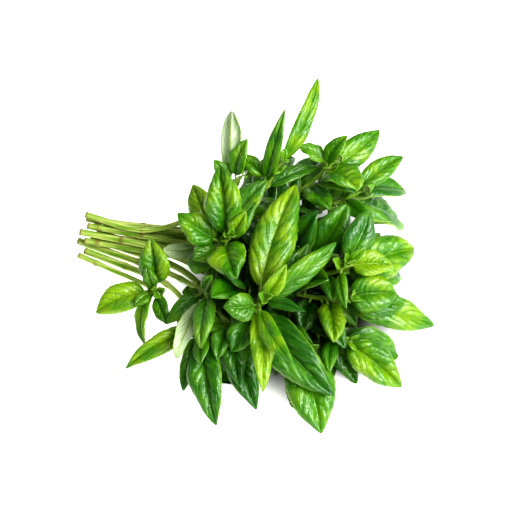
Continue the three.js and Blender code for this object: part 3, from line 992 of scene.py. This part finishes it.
UPPER_FACE = BladeFinish(
    name="blade_upper",
    # Dark green painted on leaves inside the heap as their shade.
    painted_shade=rgb(0.004, 0.03, 0.001),
    deep=rgb(0.008, 0.11, 0.001),
    fresh=rgb(0.084, 0.251, 0.002),
    sunny=rgb(0.305, 0.45, 0.006),
    young=rgb(0.205, 0.42, 0.01),
    vein=rgb(0.26, 0.47, 0.05),
    margin=rgb(0.4, 0.64, 0.06),
    through=rgb(0.42, 0.85, 0.01),
    glow=0.27,
    roughness=0.22,
    gloss=0.9,
    vein_height=0.5,
)
LOWER_FACE = BladeFinish(
    name="blade_lower",
    # Dark green painted on leaves inside the heap as their shade.
    painted_shade=rgb(0.01, 0.05, 0.004),
    deep=rgb(0.42, 0.54, 0.26),
    fresh=rgb(0.6, 0.7, 0.45),
    sunny=rgb(0.78, 0.86, 0.66),
    young=rgb(0.36, 0.56, 0.1),
    vein=rgb(0.62, 0.7, 0.45),
    margin=rgb(0.42, 0.56, 0.14),
    through=rgb(0.5, 0.78, 0.2),
    glow=0.2,
    roughness=0.6,
    gloss=0.35,
    vein_height=-0.8,
)


@dataclass(frozen=True)
class StemFinish:
    """The pale green of a ridged stem, browner at its joints and its cut.

    pale, green: the stem's two greens. blush: the brown of a joint. dry: the cut rim's brown.
    BLOTCHES, GRAIN: the sizes in mm of its noises. STREAKS: how many run round and along a length
    of STREAK_LENGTH.
    """

    BLOTCHES = 9
    GRAIN = 0.5
    STREAKS = 2.4
    BUMP = 0.35

    name: str
    pale: Colour
    green: Colour
    blush: Colour
    dry: Colour

    def material(self) -> bpy.types.Material:
        """Builds the material.

        Returns:
            The material of a stem's skin.
        """
        paint = Paint(self.name)
        joint, bare, cut = paint.attribute("growth")
        tube = paint.node("ShaderNodeAttribute", {"attribute_name": "veins"}, {}, "Vector")
        along = {"Vector": tube, "Scale": self.STREAKS}
        streaks = Value(paint, paint.node("ShaderNodeTexNoise", {}, along, "Fac"))
        blotches = paint.noise(self.BLOTCHES, 3)
        green = paint.layers(
            self.green,
            (streaks.rises(0.38, 0.62), self.pale),
            ((1 - bare) * 0.6, self.green),
            (joint * blotches.rises(0.4, 0.6) * 0.9, self.blush),
            (cut * 0.85, self.dry),
        )
        height = streaks * 0.8 + paint.noise(self.GRAIN, 2) * 0.2
        inputs = {
            "Base Color": green,
            "Roughness": blotches * 0.2 + 0.36,
            "Normal": paint.bump(height, self.BUMP),
            "Specular IOR Level": 0.4,
        }
        return paint.finish(paint.principled(inputs))


@dataclass(frozen=True)
class PithFinish:
    """The pale pith of a cut end, drier and browner towards its rim.

    GRAIN: the size in mm of its noise.
    """

    GRAIN = 0.5
    BUMP = 0.2

    name: str
    pith: Colour
    rim: Colour

    def material(self) -> bpy.types.Material:
        """Builds the material.

        Returns:
            The material of a cut face.
        """
        paint = Paint(self.name)
        _, _, edge = paint.attribute("growth")
        grains = paint.noise(self.GRAIN, 3)
        colour = paint.layers(self.pith, (edge, self.rim), (grains.rises(0.5, 0.75) * 0.4, self.rim))
        bump = paint.bump(grains, self.BUMP)
        return paint.finish(
            paint.principled({"Base Color": colour, "Roughness": grains * 0.2 + 0.55, "Normal": bump})
        )


STEM_SKIN = StemFinish(
    name="stem_skin",
    pale=rgb(0.58, 0.64, 0.2),
    green=rgb(0.2, 0.38, 0.03),
    blush=rgb(0.2, 0.1, 0.03),
    dry=rgb(0.3, 0.2, 0.07),
)
CUT_PITH = PithFinish(name="cut_pith", pith=rgb(0.6, 0.62, 0.34), rim=rgb(0.36, 0.32, 0.12))


@dataclass
class Palette:
    """The materials of the bunch, made once and shared by every leafy stem."""

    blade: list[bpy.types.Material] = field(
        default_factory=lambda: [finish.material() for finish in (UPPER_FACE, LOWER_FACE)]
    )
    stem: list[bpy.types.Material] = field(
        default_factory=lambda: [finish.material() for finish in (STEM_SKIN, CUT_PITH)]
    )


# ------------------------------------------------------------------------------------------------
# Fine meshes
# ------------------------------------------------------------------------------------------------


def put(name: str, data: Any) -> bpy.types.Object:
    """Puts an object in the scene.

    Args:
        name: Its name.
        data: The mesh, light or camera that it shows.

    Returns:
        The object.
    """
    made = bpy.data.objects.new(name, data)
    bpy.context.scene.collection.objects.link(made)
    return made


class Mesh:
    """A mesh in the making, whose corners carry what the finishes read.

    growth: for a blade its age, tone and depth in the heap, the depth setting how much painted shade
    it gets; for a stem its joints, bareness and cut.
    veins: for a blade its count of side veins, place across and place along; for a stem a point
    on an even tube.
    """

    def __init__(self, name: str) -> None:
        """Starts an empty mesh.

        Args:
            name: The piece's name.
        """
        self.name = name
        self.form = bmesh.new()
        self.growth = self.form.verts.layers.float_vector.new("growth")
        self.veins = self.form.verts.layers.float_vector.new("veins")

    def grid(self, rows: int, columns: int) -> tuple[list[bmesh.types.BMVert], np.ndarray, np.ndarray]:
        """Adds a flat grid to be shaped.

        Args:
            rows: Cells along.
            columns: Cells across.

        Returns:
            Its corners, and for each its shares along, 0 to 1, and across, -1 to 1.
        """
        size = {"x_segments": rows, "y_segments": columns, "size": 0.5}
        corners = bmesh.ops.create_grid(self.form, **size)["verts"]
        flat = np.array([corner.co[:2] for corner in corners])
        return corners, flat[:, 0] + 0.5, flat[:, 1] * 2

    def shape(
        self, corners: Sequence[bmesh.types.BMVert], points: np.ndarray, growth: Any, veins: np.ndarray
    ) -> None:
        """Moves corners to their places and joins doubles.

        Args:
            corners: The corners.
            points: Their places in mm.
            growth: What the finishes read of growth, for all or for each.
            veins: What the finishes read of veins, for each.
        """
        places = (points - FOOTPRINT_MIDDLE) * MM
        growths = np.broadcast_to(growth, points.shape)
        for corner, place_at, grown, vein in zip(corners, places, growths, veins):
            corner.co = place_at
            corner[self.growth] = grown
            corner[self.veins] = vein
        bmesh.ops.remove_doubles(self.form, verts=corners, dist=WELD)

    def tube(self, centres: np.ndarray, radii: np.ndarray, sides: int, growth: np.ndarray) -> None:
        """Adds a closed tube along a line.

        Args:
            centres: Points of the middle line in mm.
            radii: For each, the radii round the section, one for each side.
            sides: Sides of the section.
            growth: For each point, what the finish reads.
        """
        steps = np.linalg.norm(np.diff(centres, axis=0), axis=1)
        along = np.append(0.0, np.cumsum(steps))
        heading = np.gradient(centres, axis=0)
        heading = heading / np.linalg.norm(heading, axis=1)[:, None]
        first = [square_to(UP, heading[0])]
        for direction in heading[1:]:
            first.append(square_to(first[-1], direction))
        first = np.array(first)
        second = np.cross(heading, first)
        before = len(self.form.faces)
        corners, share, across = self.grid(len(centres) - 1, sides)
        row = np.rint(share * (len(centres) - 1)).astype(int)
        side = np.rint((across + 1) / 2 * sides).astype(int) % sides
        angle = side * 2 * math.pi / sides
        radius = radii[row, side]
        points = centres[row] + first[row] * (radius * np.cos(angle))[:, None]
        points = points + second[row] * (radius * np.sin(angle))[:, None]
        points[:, 2] = np.maximum(points[:, 2], LOWEST)
        veins = np.column_stack([along[row] / STREAK_LENGTH, np.cos(angle), np.sin(angle)])
        self.shape(corners, points, growth[row], veins)
        self.form.faces.ensure_lookup_table()
        skin = self.form.faces[before:]
        rims = [edge for face in skin for edge in face.edges if edge.is_boundary]
        caps = bmesh.ops.holes_fill(self.form, edges=list(set(rims)), sides=0)["faces"]
        bmesh.ops.recalc_face_normals(self.form, faces=[*skin, *caps])

    def finish(self, materials: Sequence[bpy.types.Material]) -> bpy.types.Object:
        """Turns the mesh into a smooth piece.

        Args:
            materials: Its materials.

        Returns:
            The object, at the origin.
        """
        for face in self.form.faces:
            face.smooth = True
        data = bpy.data.meshes.new(self.name)
        self.form.to_mesh(data)
        self.form.free()
        for material in materials:
            data.materials.append(material)
        return put(self.name, data)


@dataclass(frozen=True)
class Detail:
    """How finely a blade is modelled."""

    rows: int
    columns: int


GIVEN_DETAIL = Detail(58, 26)
OUTER_DETAIL = Detail(44, 18)
INNER_DETAIL = Detail(30, 12)
BUD_DETAIL = Detail(14, 8)


class Blade:
    """A fine blade: a leaf's surface with its veins sunk in and the green swelling between them.

    The pairs are what its draws choose between: how many pairs of side veins it has; how far the
    two sides' veins are out of step; how much the green swells between them; how deep the midrib
    lies in mm; how much the halves are domed; how high the margin waves, and how often; how far the
    veins stray; and how many teeth a side has. SWELL, DOME and WAVE_HEIGHT are shares of the half
    width. YOUNG_PAIRS, YOUNG_SWELL: by how much a bud's leaf has fewer veins and swells less.
    FOOT_CROWDING, MIDRIB_CROWDING: how the mesh is finer at the foot and by the midrib. VEIN_LEAN,
    VEIN_SWEEP: how the side veins lean to the point, and curve on near the margin.
    PILLOW_POWER, PILLOW_LEVEL: how full the green is between veins, and what part of it stands
    above the plain surface. CRINKLE, CRINKLE_LENGTH, CRINKLE_WIDTH: the finer swelling, as a share
    of the swelling, and its size in mm. MIDRIB_WIDTH: the share of the half width that is sunk.
    POINT_START, POINT_PINCH: where the blade draws in to a finer point, and by how much.
    TOOTH_DEPTH: as a share of the width. STEP: the share over which slopes are measured.
    """

    PAIRS = (5.6, 7.0)
    STAGGER = (0.2, 0.5)
    SWELL = (0.025, 0.09)
    CREASE = (0.3, 0.55)
    DOME = (0.02, 0.11)
    WAVE_HEIGHT = (0.03, 0.1)
    WAVES = (1.1, 2.3)
    STRAY = (0.1, 0.18)
    TEETH = (9, 13)
    YOUNG_PAIRS = 2
    YOUNG_SWELL = 0.5
    FOOT_CROWDING = 0.4
    MIDRIB_CROWDING = 1.12
    VEIN_LEAN = 0.24
    VEIN_SWEEP = 0.2
    PILLOW_POWER = 0.7
    PILLOW_LEVEL = 0.62
    CRINKLE = 0.1
    CRINKLE_LENGTH = 3.4
    CRINKLE_WIDTH = 3.0
    MIDRIB_WIDTH = 0.07
    POINT_START = 0.76
    POINT_PINCH = 0.2
    TOOTH_DEPTH = 0.036
    STEP = 0.004

    def __init__(self, leaf: Leaf, detail: Detail, age: float, tone: float | None = None) -> None:
        """Draws what makes the blade its own.

        Args:
            leaf: The leaf as it lies.
            detail: How finely it is modelled.
            age: 0 for a grown leaf to 1 for a bud's.
            tone: How bright its green is, 0 to 1, or None for a draw.
        """
        draw = draws_from(leaf.seed + BLADE_SEED)
        self.leaf = leaf
        self.detail = detail
        self.age = age
        drawn = next(draw)
        self.tone = drawn if tone is None else tone
        self.pairs = between(self.PAIRS, next(draw)) - self.YOUNG_PAIRS * age
        self.stagger = between(self.STAGGER, next(draw))
        self.swell = leaf.half_width * between(self.SWELL, next(draw)) * (1 - self.YOUNG_SWELL * age)
        self.crease = between(self.CREASE, next(draw))
        self.dome = leaf.half_width * between(self.DOME, next(draw))
        self.wave = leaf.half_width * between(self.WAVE_HEIGHT, next(draw))
        self.wave_turns = CYCLE * between(self.WAVES, next(draw))
        self.stray = between(self.STRAY, next(draw))
        self.phase = CYCLE * next(draw)
        self.teeth = round(between(self.TEETH, next(draw)))

    def vein_count(self, blade: np.ndarray, across: np.ndarray) -> np.ndarray:
        """Counts the side veins between the foot and a point, whole on each vein.

        Args:
            blade: Shares from the blade's foot to its point.
            across: Shares from one margin, -1, to the other, 1.

        Returns:
            The counts.
        """
        lean = self.VEIN_LEAN * np.abs(across) + self.VEIN_SWEEP * np.abs(across) ** 2.5
        stray = self.stray * np.sin(self.wave_turns * 1.7 * blade + self.phase + 2 * across)
        return (blade - lean) * self.pairs + self.stagger * np.sign(across) + stray

    def relief(self, blade: np.ndarray, across: np.ndarray) -> np.ndarray:
        """Works out the relief.

        Args:
            blade: Shares from the blade's foot to its point.
            across: Shares from one margin, -1, to the other, 1.

        Returns:
            How far the blade stands proud of its plain surface, in mm.
        """
        out = np.abs(across)
        ends = clipped(blade * 8) * clipped((1 - blade) * 5)
        pillow = np.abs(np.sin(np.pi * self.vein_count(blade, across))) ** self.PILLOW_POWER
        uneven = 1 + 0.45 * np.sin(2.3 * self.wave_turns * blade + 3 * across + 2 * self.phase)
        swelling = self.swell * (pillow - self.PILLOW_LEVEL) * uneven * clipped(out * 5) * (1 - out**5)
        long_way = blade * self.leaf.length / self.CRINKLE_LENGTH * CYCLE + self.phase
        wide_way = across * self.leaf.half_width / self.CRINKLE_WIDTH * CYCLE
        wide_way = wide_way + 1.7 * np.sin(long_way * 0.37)
        crinkle = self.CRINKLE * self.swell * np.sin(long_way + 1.3 * np.sin(wide_way)) * np.sin(wide_way)
        groove = self.crease * hump(out, self.MIDRIB_WIDTH)
        waving = self.wave * np.sin(self.wave_turns * blade + self.phase * (1 + 0.5 * across)) * out**2
        rolled = self.dome * (np.sin(np.pi * out) - 1.6 * clipped(out * 2.5 - 1.5) ** 2)
        return (swelling + crinkle - groove + waving + rolled) * ends

    def depth(self, point: np.ndarray) -> np.ndarray:
        """Returns how deep in the heap points lie, 0 outside to 1, which sets how much painted shade they
        get.
        """
        share = np.linalg.norm((point - HEAP_MIDDLE) / HEAP_REACH, axis=1)
        return clipped((SHADE_STARTS - share) / SHADE_DEEPENS)

    def base(self, blade: np.ndarray, across: np.ndarray) -> np.ndarray:
        """Works out the plain surface, with a drawn-out point and the margin's small teeth.

        Args:
            blade: Shares from the blade's foot to its point.
            across: Shares from one margin, -1, to the other, 1.

        Returns:
            The points.
        """
        point, _, broad = self.leaf.surface(blade, across)
        tooth = (blade * self.teeth + 0.25) % 1
        cut_in = self.TOOTH_DEPTH * tooth * clipped((np.abs(across) - 0.8) * 5) * clipped((1 - blade) * 6)
        near_point = clipped((blade - self.POINT_START) / (1 - self.POINT_START))
        cut_in = cut_in + self.POINT_PINCH * near_point**1.4
        return point - self.leaf.side * (across * broad * cut_in)[:, None]

    def add_to(self, mesh: Mesh) -> None:
        """Adds the blade.

        Args:
            mesh: The mesh that it is added to.
        """
        corners, share, across = mesh.grid(self.detail.rows, self.detail.columns)
        blade = share * (1 - self.FOOT_CROWDING) + share**2 * self.FOOT_CROWDING
        across = np.sign(across) * np.abs(across) ** self.MIDRIB_CROWDING
        point = self.base(blade, across)
        ahead = self.base(np.minimum(1, blade + self.STEP), across)
        ahead = ahead - self.base(np.maximum(0, blade - self.STEP), across)
        aside = self.base(blade, np.minimum(1, across + self.STEP))
        aside = aside - self.base(blade, np.maximum(-1, across - self.STEP))
        normal = np.cross(ahead, aside)
        size = np.linalg.norm(normal, axis=1)[:, None]
        normal = np.where(size > 1e-9, normal / np.maximum(size, 1e-9), self.leaf.upright)
        point = point + normal * self.relief(blade, across)[:, None]
        point[:, 2] = np.maximum(point[:, 2], BLADE_THICKNESS / 2)
        aged, toned = np.full(len(point), self.age), np.full(len(point), self.tone)
        # The depth in the heap is carried for the painted shade of the leaves inside it.
        growth = np.column_stack([aged, toned, self.depth(point)])
        veins = np.column_stack([self.vein_count(blade, across), across, blade])
        mesh.shape(corners, point, growth, veins)

    def add_stalk_to(self, mesh: Mesh) -> None:
        """Adds the stalk and the rib that runs on under the blade.

        Args:
            mesh: The mesh that they are added to.
        """
        leaf = self.leaf
        share = np.linspace(0, leaf.stalk + (1 - leaf.stalk) * 0.9, 12 + self.detail.rows // 4)
        point, normal, _ = leaf.midrib(share)
        thick = min(1.0, leaf.length / 40)
        under = clipped((share - leaf.stalk) / (1 - leaf.stalk))
        radius = thick * (0.95 - 0.8 * under**0.6)
        collar = 1 + 0.5 * hump(share * leaf.length, 1.6)
        sunk = clipped(under * 12) * (radius * 0.7 + self.crease * 0.8)
        centre = point - normal * sunk[:, None]
        centre[:, 2] = np.maximum(centre[:, 2], BLADE_THICKNESS / 2 + radius)
        radii = (radius * collar)[:, None] * np.ones(STALK_SIDES)
        growth = np.column_stack([np.zeros(len(share)), 0.3 + 0.3 * under, np.zeros(len(share))])
        mesh.tube(centre, radii, STALK_SIDES, growth)


@dataclass
class LeafyStem:
    """The fine form of one leafy stem: blades, stalks, bud and a ridged stem swollen at its joints.

    grown: the stem as it grew. ring_spacing: mm between the stem's rings, and sides their sides.
    bud_lengths, bud_opens: the length in mm and the opening in degrees of the bud's pairs of
    leaves. axil_share: the share of leaves that have shoots in their axils, AXIL_LENGTH mm long,
    where a leaf reaches over AXIL_REACH mm. YOUNG_WIDTH: a young leaf's width to its length.
    GROWN_LENGTH, GROWING: the length in mm from which a leaf is grown, and over which it ages.
    SMALL: the length up to which a leaf is modelled coarsely and swells no joint.
    FIRST_BARE, BARE_SPACING, CUT_MARGIN: mm from the last leaf to the first bare joint, from
    joint to joint, and to the cut. BARE_JOINT, LEAFY_JOINT: how much a joint swells and browns,
    over JOINT_LENGTH and BROWN_LENGTH mm. SLIMMED: the section's middle radius to the solid's.
    SCAR_LENGTH: how far a stub stands out, in mm. PITH: the width and depth in mm of the steps
    from the cut's rim to its pith.
    """

    YOUNG_WIDTH = 0.62
    AXIL_REACH = 25
    AXIL_LENGTH = (5, 10)
    GROWN_LENGTH = 34
    GROWING = 24
    SMALL = 20
    FIRST_BARE = (12, 26)
    BARE_SPACING = (28, 52)
    CUT_MARGIN = 6
    BARE_JOINT = (0.24, 0.95)
    LEAFY_JOINT = (0.1, 0.1)
    JOINT_LENGTH = 2.0
    BROWN_LENGTH = 1.5
    SLIMMED = 0.93
    SCAR_LENGTH = (0.4, 2.2)
    PITH = ((0.28, 0.0), (0.35, -0.22), (0.6, 0.05))

    grown: GrownSprig
    palette: Palette
    ring_spacing: float = 1.6
    sides: int = 24
    bud_lengths: tuple[float, ...] = (6.5, 4.6, 3.0)
    bud_opens: tuple[float, ...] = (48.0, 30.0, 12.0)
    axil_share: float = 0.35

    def draw(self) -> Iterator[float]:
        """Returns this stem's own seeded draws."""
        return draws_from(STEM_SEED + self.grown.number)

    def tiny_leaf(self, root: np.ndarray, reach: np.ndarray, facing: np.ndarray, seed: int) -> Blade:
        """Makes a young blade.

        Args:
            root: Where it grows from.
            reach: The way from there to its tip.
            facing: The way that its upper side faces.
            seed: Its number.

        Returns:
            The blade.
        """
        width = float(np.linalg.norm(reach)) * self.YOUNG_WIDTH
        wish = Wish(root, root + reach, facing, width, 0, seed)
        return Blade(Leaf(wish, root + reach, 1.0), BUD_DETAIL, 1.0)

    def bud(self) -> list[Blade]:
        """Makes the crossed pairs of young leaves at the stem's end.

        Returns:
            Their blades.
        """
        grown, blades = self.grown, []
        for pair, (length, opened) in enumerate(zip(self.bud_lengths, self.bud_opens)):
            root, direction = grown.path.at(max(0.1, 1.2 - pair * 0.5))
            across = round_stem(direction, grown.first_way + (pair + 1) * math.pi / 2)
            for side, reach in enumerate(pair_of_ways(direction, across, math.radians(opened))):
                seed = BUD_SEED + grown.number * 10 + pair * 2 + side
                blades.append(self.tiny_leaf(root, reach * length, direction, seed))
        return blades

    def axils(self) -> list[Blade]:
        """Makes the tiny shoots that stand between some stalks and the stem.

        Returns:
            Their blades.
        """
        blades = []
        for leaf in self.grown.leaves:
            draw = draws_from(leaf.seed + AXIL_SEED)
            if next(draw) > self.axil_share or leaf.chord < self.AXIL_REACH:
                continue
            direction = self.grown.path.at(self.distance_of(leaf.root))[1]
            for way in (1, -1):
                reach = unit(leaf.along * 0.8 + direction * 0.6 + leaf.upright * 0.5 + leaf.side * way * 0.5)
                length = between(self.AXIL_LENGTH, next(draw))
                seed = leaf.seed + AXIL_SEED + way
                blades.append(self.tiny_leaf(leaf.root, reach * length, leaf.upright, seed))
        return blades

    def distance_of(self, root: np.ndarray) -> float:
        """Returns how far from the bud a leaf's root is."""
        path = self.grown.path
        return float(path.from_tip[np.argmin(np.linalg.norm(path.points - root, axis=1))])

    def blades(self) -> list[Blade]:
        """Makes every blade of the stem, grown and young.

        Returns:
            The blades.
        """
        made = []
        for leaf in self.grown.leaves:
            detail = INNER_DETAIL
            if leaf.seed < SHELL_SEED:
                detail = GIVEN_DETAIL
            elif leaf.seed < 2 * SHELL_SEED:
                detail = OUTER_DETAIL
            if leaf.length <= self.SMALL:
                detail = BUD_DETAIL
            age = min(1.0, max(0.0, (self.GROWN_LENGTH - leaf.length) / self.GROWING))
            made.append(Blade(leaf, detail, age, self.tone_of(leaf)))
        return made + self.bud() + self.axils()

    def tone_of(self, leaf: Leaf) -> float | None:
        """Finds how bright a leaf's green is.

        Args:
            leaf: The leaf.

        Returns:
            Its brightness, 0 to 1, or None for a young leaf.
        """
        tones = TONES[self.grown.sprig.name]
        index = leaf.seed - SPRIG_SEED * self.grown.number
        if index < len(tones):
            return tones[index]
        if leaf.seed < SHELL_SEED:
            return None
        # Inner leaves draw darker tones: painted shade inside the heap.
        tones = OUTER_TONES if leaf.seed < 2 * SHELL_SEED else INNER_TONES
        return between(tones, next(draws_from(leaf.seed + TONE_SEED)))

    def bare_joints(self) -> list[float]:
        """Finds where leaves were stripped from the bare part.

        Returns:
            Distances from the bud, in mm.
        """
        draw = self.draw()
        farthest = max(self.distance_of(leaf.root) for leaf in self.grown.leaves)
        joints, place_at = [], farthest + between(self.FIRST_BARE, next(draw))
        while place_at < self.grown.path.length - self.CUT_MARGIN:
            joints.append(place_at)
            place_at += between(self.BARE_SPACING, next(draw))
        return joints

    def add_stem_to(self, mesh: Mesh) -> None:
        """Adds the stem: squarish, ridged, swollen at its joints and cut square.

        Args:
            mesh: The mesh that it is added to.
        """
        path = self.grown.path
        rings = round(path.length / self.ring_spacing)
        distance = np.linspace(path.length, 0.0, rings + 1)
        order = np.argsort(path.from_tip)
        axes = [np.interp(distance, path.from_tip[order], path.points[order, axis]) for axis in range(3)]
        centres = np.column_stack(axes)
        draw = self.draw()
        phase = CYCLE * next(draw)
        leafy = [self.distance_of(leaf.root) for leaf in self.grown.leaves if leaf.length > self.SMALL]
        swelling = np.zeros(len(distance))
        blush = np.zeros(len(distance))
        for joints, (swollen, browned) in ((self.bare_joints(), self.BARE_JOINT), (leafy, self.LEAFY_JOINT)):
            for joint in joints:
                swelling = np.maximum(swelling, swollen * hump(distance - joint, self.JOINT_LENGTH))
                blush = np.maximum(blush, browned * hump(distance - joint, self.BROWN_LENGTH))
        radius = np.array([stem_radius(place_at) for place_at in distance]) * self.SLIMMED
        radius = radius * (1 + swelling) * clipped(0.35 + distance / 5)
        angle = np.arange(self.sides) * 2 * math.pi / self.sides
        section = 1 + 0.06 * np.cos(4 * angle + phase) + 0.045 * np.cos(8 * angle + 2 * phase)
        wander = 0.3 * np.sin(distance / 17 + phase)
        centres = centres + UP * (wander * clipped(distance / 30 - 1.5))[:, None]
        leafless = clipped((distance - max(leafy)) / 18 + 0.6)
        cut = np.exp(-((path.length - distance) / 1.4))
        growth = np.column_stack([blush, leafless, cut])
        mesh.tube(centres, radius[:, None] * section[None, :], self.sides, growth)

    def add_scars_to(self, mesh: Mesh) -> None:
        """Adds the stubs that stripped stalks left on the bare joints.

        Args:
            mesh: The mesh that they are added to.
        """
        draw = self.draw()
        for joint in self.bare_joints():
            root, direction = self.grown.path.at(joint)
            reach = unit(round_stem(direction, CYCLE * next(draw)) + direction * 0.7)
            size = stem_radius(joint) + between(self.SCAR_LENGTH, next(draw))
            share = np.linspace(0.3, 1.0, 5)[:, None]
            radii = 0.85 - 0.4 * share * np.ones(STALK_SIDES)
            growth = np.column_stack([share**3, np.full(len(share), 0.8), share**8])
            mesh.tube(root + reach * size * share, radii, STALK_SIDES, growth)

    def dress(self) -> list[bpy.types.Object]:
        """Builds the fine pieces of this leafy stem.

        Returns:
            The blades, and the stem with its stalks.
        """
        name = self.grown.sprig.name
        blades = self.blades()
        leaves, wood = Mesh(f"{name}.leaves"), Mesh(f"{name}.stem")
        for blade in blades:
            blade.add_to(leaves)
            blade.add_stalk_to(wood)
        self.add_scars_to(wood)
        self.add_stem_to(wood)
        self.cut_end(wood)
        foliage = leaves.finish(self.palette.blade)
        wall = foliage.modifiers.new("thickness", "SOLIDIFY")
        wall.thickness = FINE_THICKNESS * MM
        wall.offset = 0
        wall.material_offset = Side.LOWER.value
        wall.material_offset_rim = Side.LOWER.value
        stem = wood.finish(self.palette.stem)
        for piece in (foliage, stem):
            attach(piece, "root")
            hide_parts(name)
        return [foliage, stem]

    def cut_end(self, mesh: Mesh) -> None:
        """Sinks the pith a little inside the rim of the cut end.

        Args:
            mesh: The mesh that holds the stem.
        """
        mesh.form.faces.ensure_lookup_table()
        middle = Vector((self.grown.path.points[0] - FOOTPRINT_MIDDLE) * MM)
        many = [face for face in mesh.form.faces if len(face.verts) == self.sides]
        face = min(many, key=lambda cap: (cap.calc_center_median() - middle).length)
        face.material_index = 1
        for width, depth in self.PITH:
            step = {"thickness": width * MM, "depth": depth * MM, "use_even_offset": True}
            bmesh.ops.inset_individual(mesh.form, faces=[face], **step)
            for corner in face.verts:
                corner[mesh.growth] = (0, 0, 0)


# ------------------------------------------------------------------------------------------------
# Studio
# ------------------------------------------------------------------------------------------------


@dataclass(frozen=True)
class Lamp:
    """A square soft light: where it stands, how wide it is and how bright, in metres and watts."""

    name: str
    stand: tuple[float, float, float]
    width: float
    power: float


@dataclass
class Studio:
    """A white floor in white surroundings, soft lamps and a long lens from above the front.

    floor_glow: light that the floor sends up, which fades out under the heap as a painted shadow, from
    the second to the first share of its reach in shade_reach. PAPER, PAINTED_SHADOW: the floor's paper
    colours in the clear, and the dark colour painted under the heap as its shadow. GRAIN: the size in
    mm of the paper's noise. The camera stands in front of the target, elevation degrees up and
    distance metres off, and frames frame_width metres there.
    """

    PAPER = (rgb(0.79, 0.79, 0.785), rgb(0.81, 0.81, 0.805))
    # The dark colour painted on the floor under the heap as its shadow.
    PAINTED_SHADOW = rgb(0.12, 0.13, 0.11)
    GRAIN = 3

    lamps: tuple[Lamp, ...] = (
        Lamp("key", (0.82, -0.5, 1.2), 1.3, 45),
        Lamp("fill", (-0.9, 0.9, 0.9), 1.2, 3),
    )
    surroundings: float = 0.07
    floor_glow: float = 0.8
    shade_reach: tuple[float, float] = (0.5, 0.95)
    elevation: float = 55.0
    distance: float = 1.6
    frame_width: float = 0.34
    target: tuple[float, float, float] = (0.0014, 0.0121, 0.030)
    floor_radius: float = 4.0

    def build(self) -> None:
        """Builds the floor, the surroundings, the lamps and the camera."""
        self.build_floor()
        self.build_surroundings()
        for lamp in self.lamps:
            self.build_lamp(lamp)
        self.build_camera()

    def build_floor(self) -> None:
        """Builds the floor, which is stage."""
        form = bmesh.new()
        bmesh.ops.create_circle(form, cap_ends=True, segments=96, radius=self.floor_radius)
        data = bpy.data.meshes.new("floor")
        form.to_mesh(data)
        form.free()
        paint = Paint("floor_paper")
        # Painted shadow: the floor is painted dark under the heap, and its glow fades out there.
        clear = self.away_from_heap(paint).rises(*self.shade_reach)
        white = paint.mix(clear, self.PAINTED_SHADOW, paint.mix(paint.noise(self.GRAIN, 2), *self.PAPER))
        glow = paint.mix(clear, rgb(0, 0, 0), rgb(1, 1, 1))
        inputs = {"Base Color": white, "Roughness": 0.9, "Specular IOR Level": 0.1}
        inputs |= {"Emission Color": glow, "Emission Strength": self.floor_glow}
        data.materials.append(paint.finish(paint.principled(inputs)))
        floor = put("floor", data)

    def away_from_heap(self, paint: Paint) -> Value:
        """Measures how far a point lies from the heap's middle.

        Args:
            paint: The material that asks.

        Returns:
            The distance, as a share of the heap's reach.
        """
        middle = (HEAP_MIDDLE - FOOTPRINT_MIDDLE) * MM
        reach = HEAP_REACH * MM
        east, north, _ = paint.parts(paint.coordinate("Object"))
        east = (east - float(middle[0])) / float(reach[0])
        north = (north - float(middle[1])) / float(reach[1])
        return (east * east + north * north) ** 0.5

    def build_surroundings(self) -> None:
        """Makes the surroundings an even white."""
        world = bpy.data.worlds.new("surroundings")
        world.use_nodes = True
        background = world.node_tree.nodes["Background"]
        background.inputs["Color"].default_value = rgb(1.0, 1.0, 1.0)
        background.inputs["Strength"].default_value = self.surroundings
        bpy.context.scene.world = world

    def build_lamp(self, lamp: Lamp) -> None:
        """Hangs a lamp and aims it at the bunch.

        Args:
            lamp: The lamp.
        """
        data = bpy.data.lights.new(lamp.name, "AREA")
        data.shape = "SQUARE"
        data.size = lamp.width
        data.energy = lamp.power
        light = put(lamp.name, data)
        light.location = lamp.stand
        light.rotation_euler = (Vector(self.target) - light.location).to_track_quat("-Z", "Y").to_euler()

    def build_camera(self) -> None:
        """Sets up the camera."""
        data = bpy.data.cameras.new("camera")
        data.lens = data.sensor_width * self.distance / self.frame_width
        angle = math.radians(self.elevation)
        back = Vector((0, -math.cos(angle), math.sin(angle)))
        camera = put("camera", data)
        camera.location = Vector(self.target) + back * self.distance
        camera.rotation_euler = (-back).to_track_quat("-Z", "Y").to_euler()
        bpy.context.scene.camera = camera


def main() -> None:
    """Loads the frame, dresses every leafy stem and lights the scene."""
    logging.basicConfig(level=logging.INFO, format="%(name)s: %(message)s")
    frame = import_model()
    Studio().build()
    palette = Palette()
    for grown in grow_bunch(frame["nodes"]):
        for piece in LeafyStem(grown, palette).dress():
            log.info("%s: %d faces", piece.name, len(piece.data.polygons))
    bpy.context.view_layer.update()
    view = bpy.context.scene.view_settings
    view.view_transform = "Standard"
    view.look = "High Contrast"


if __name__ == "__main__":
    main()
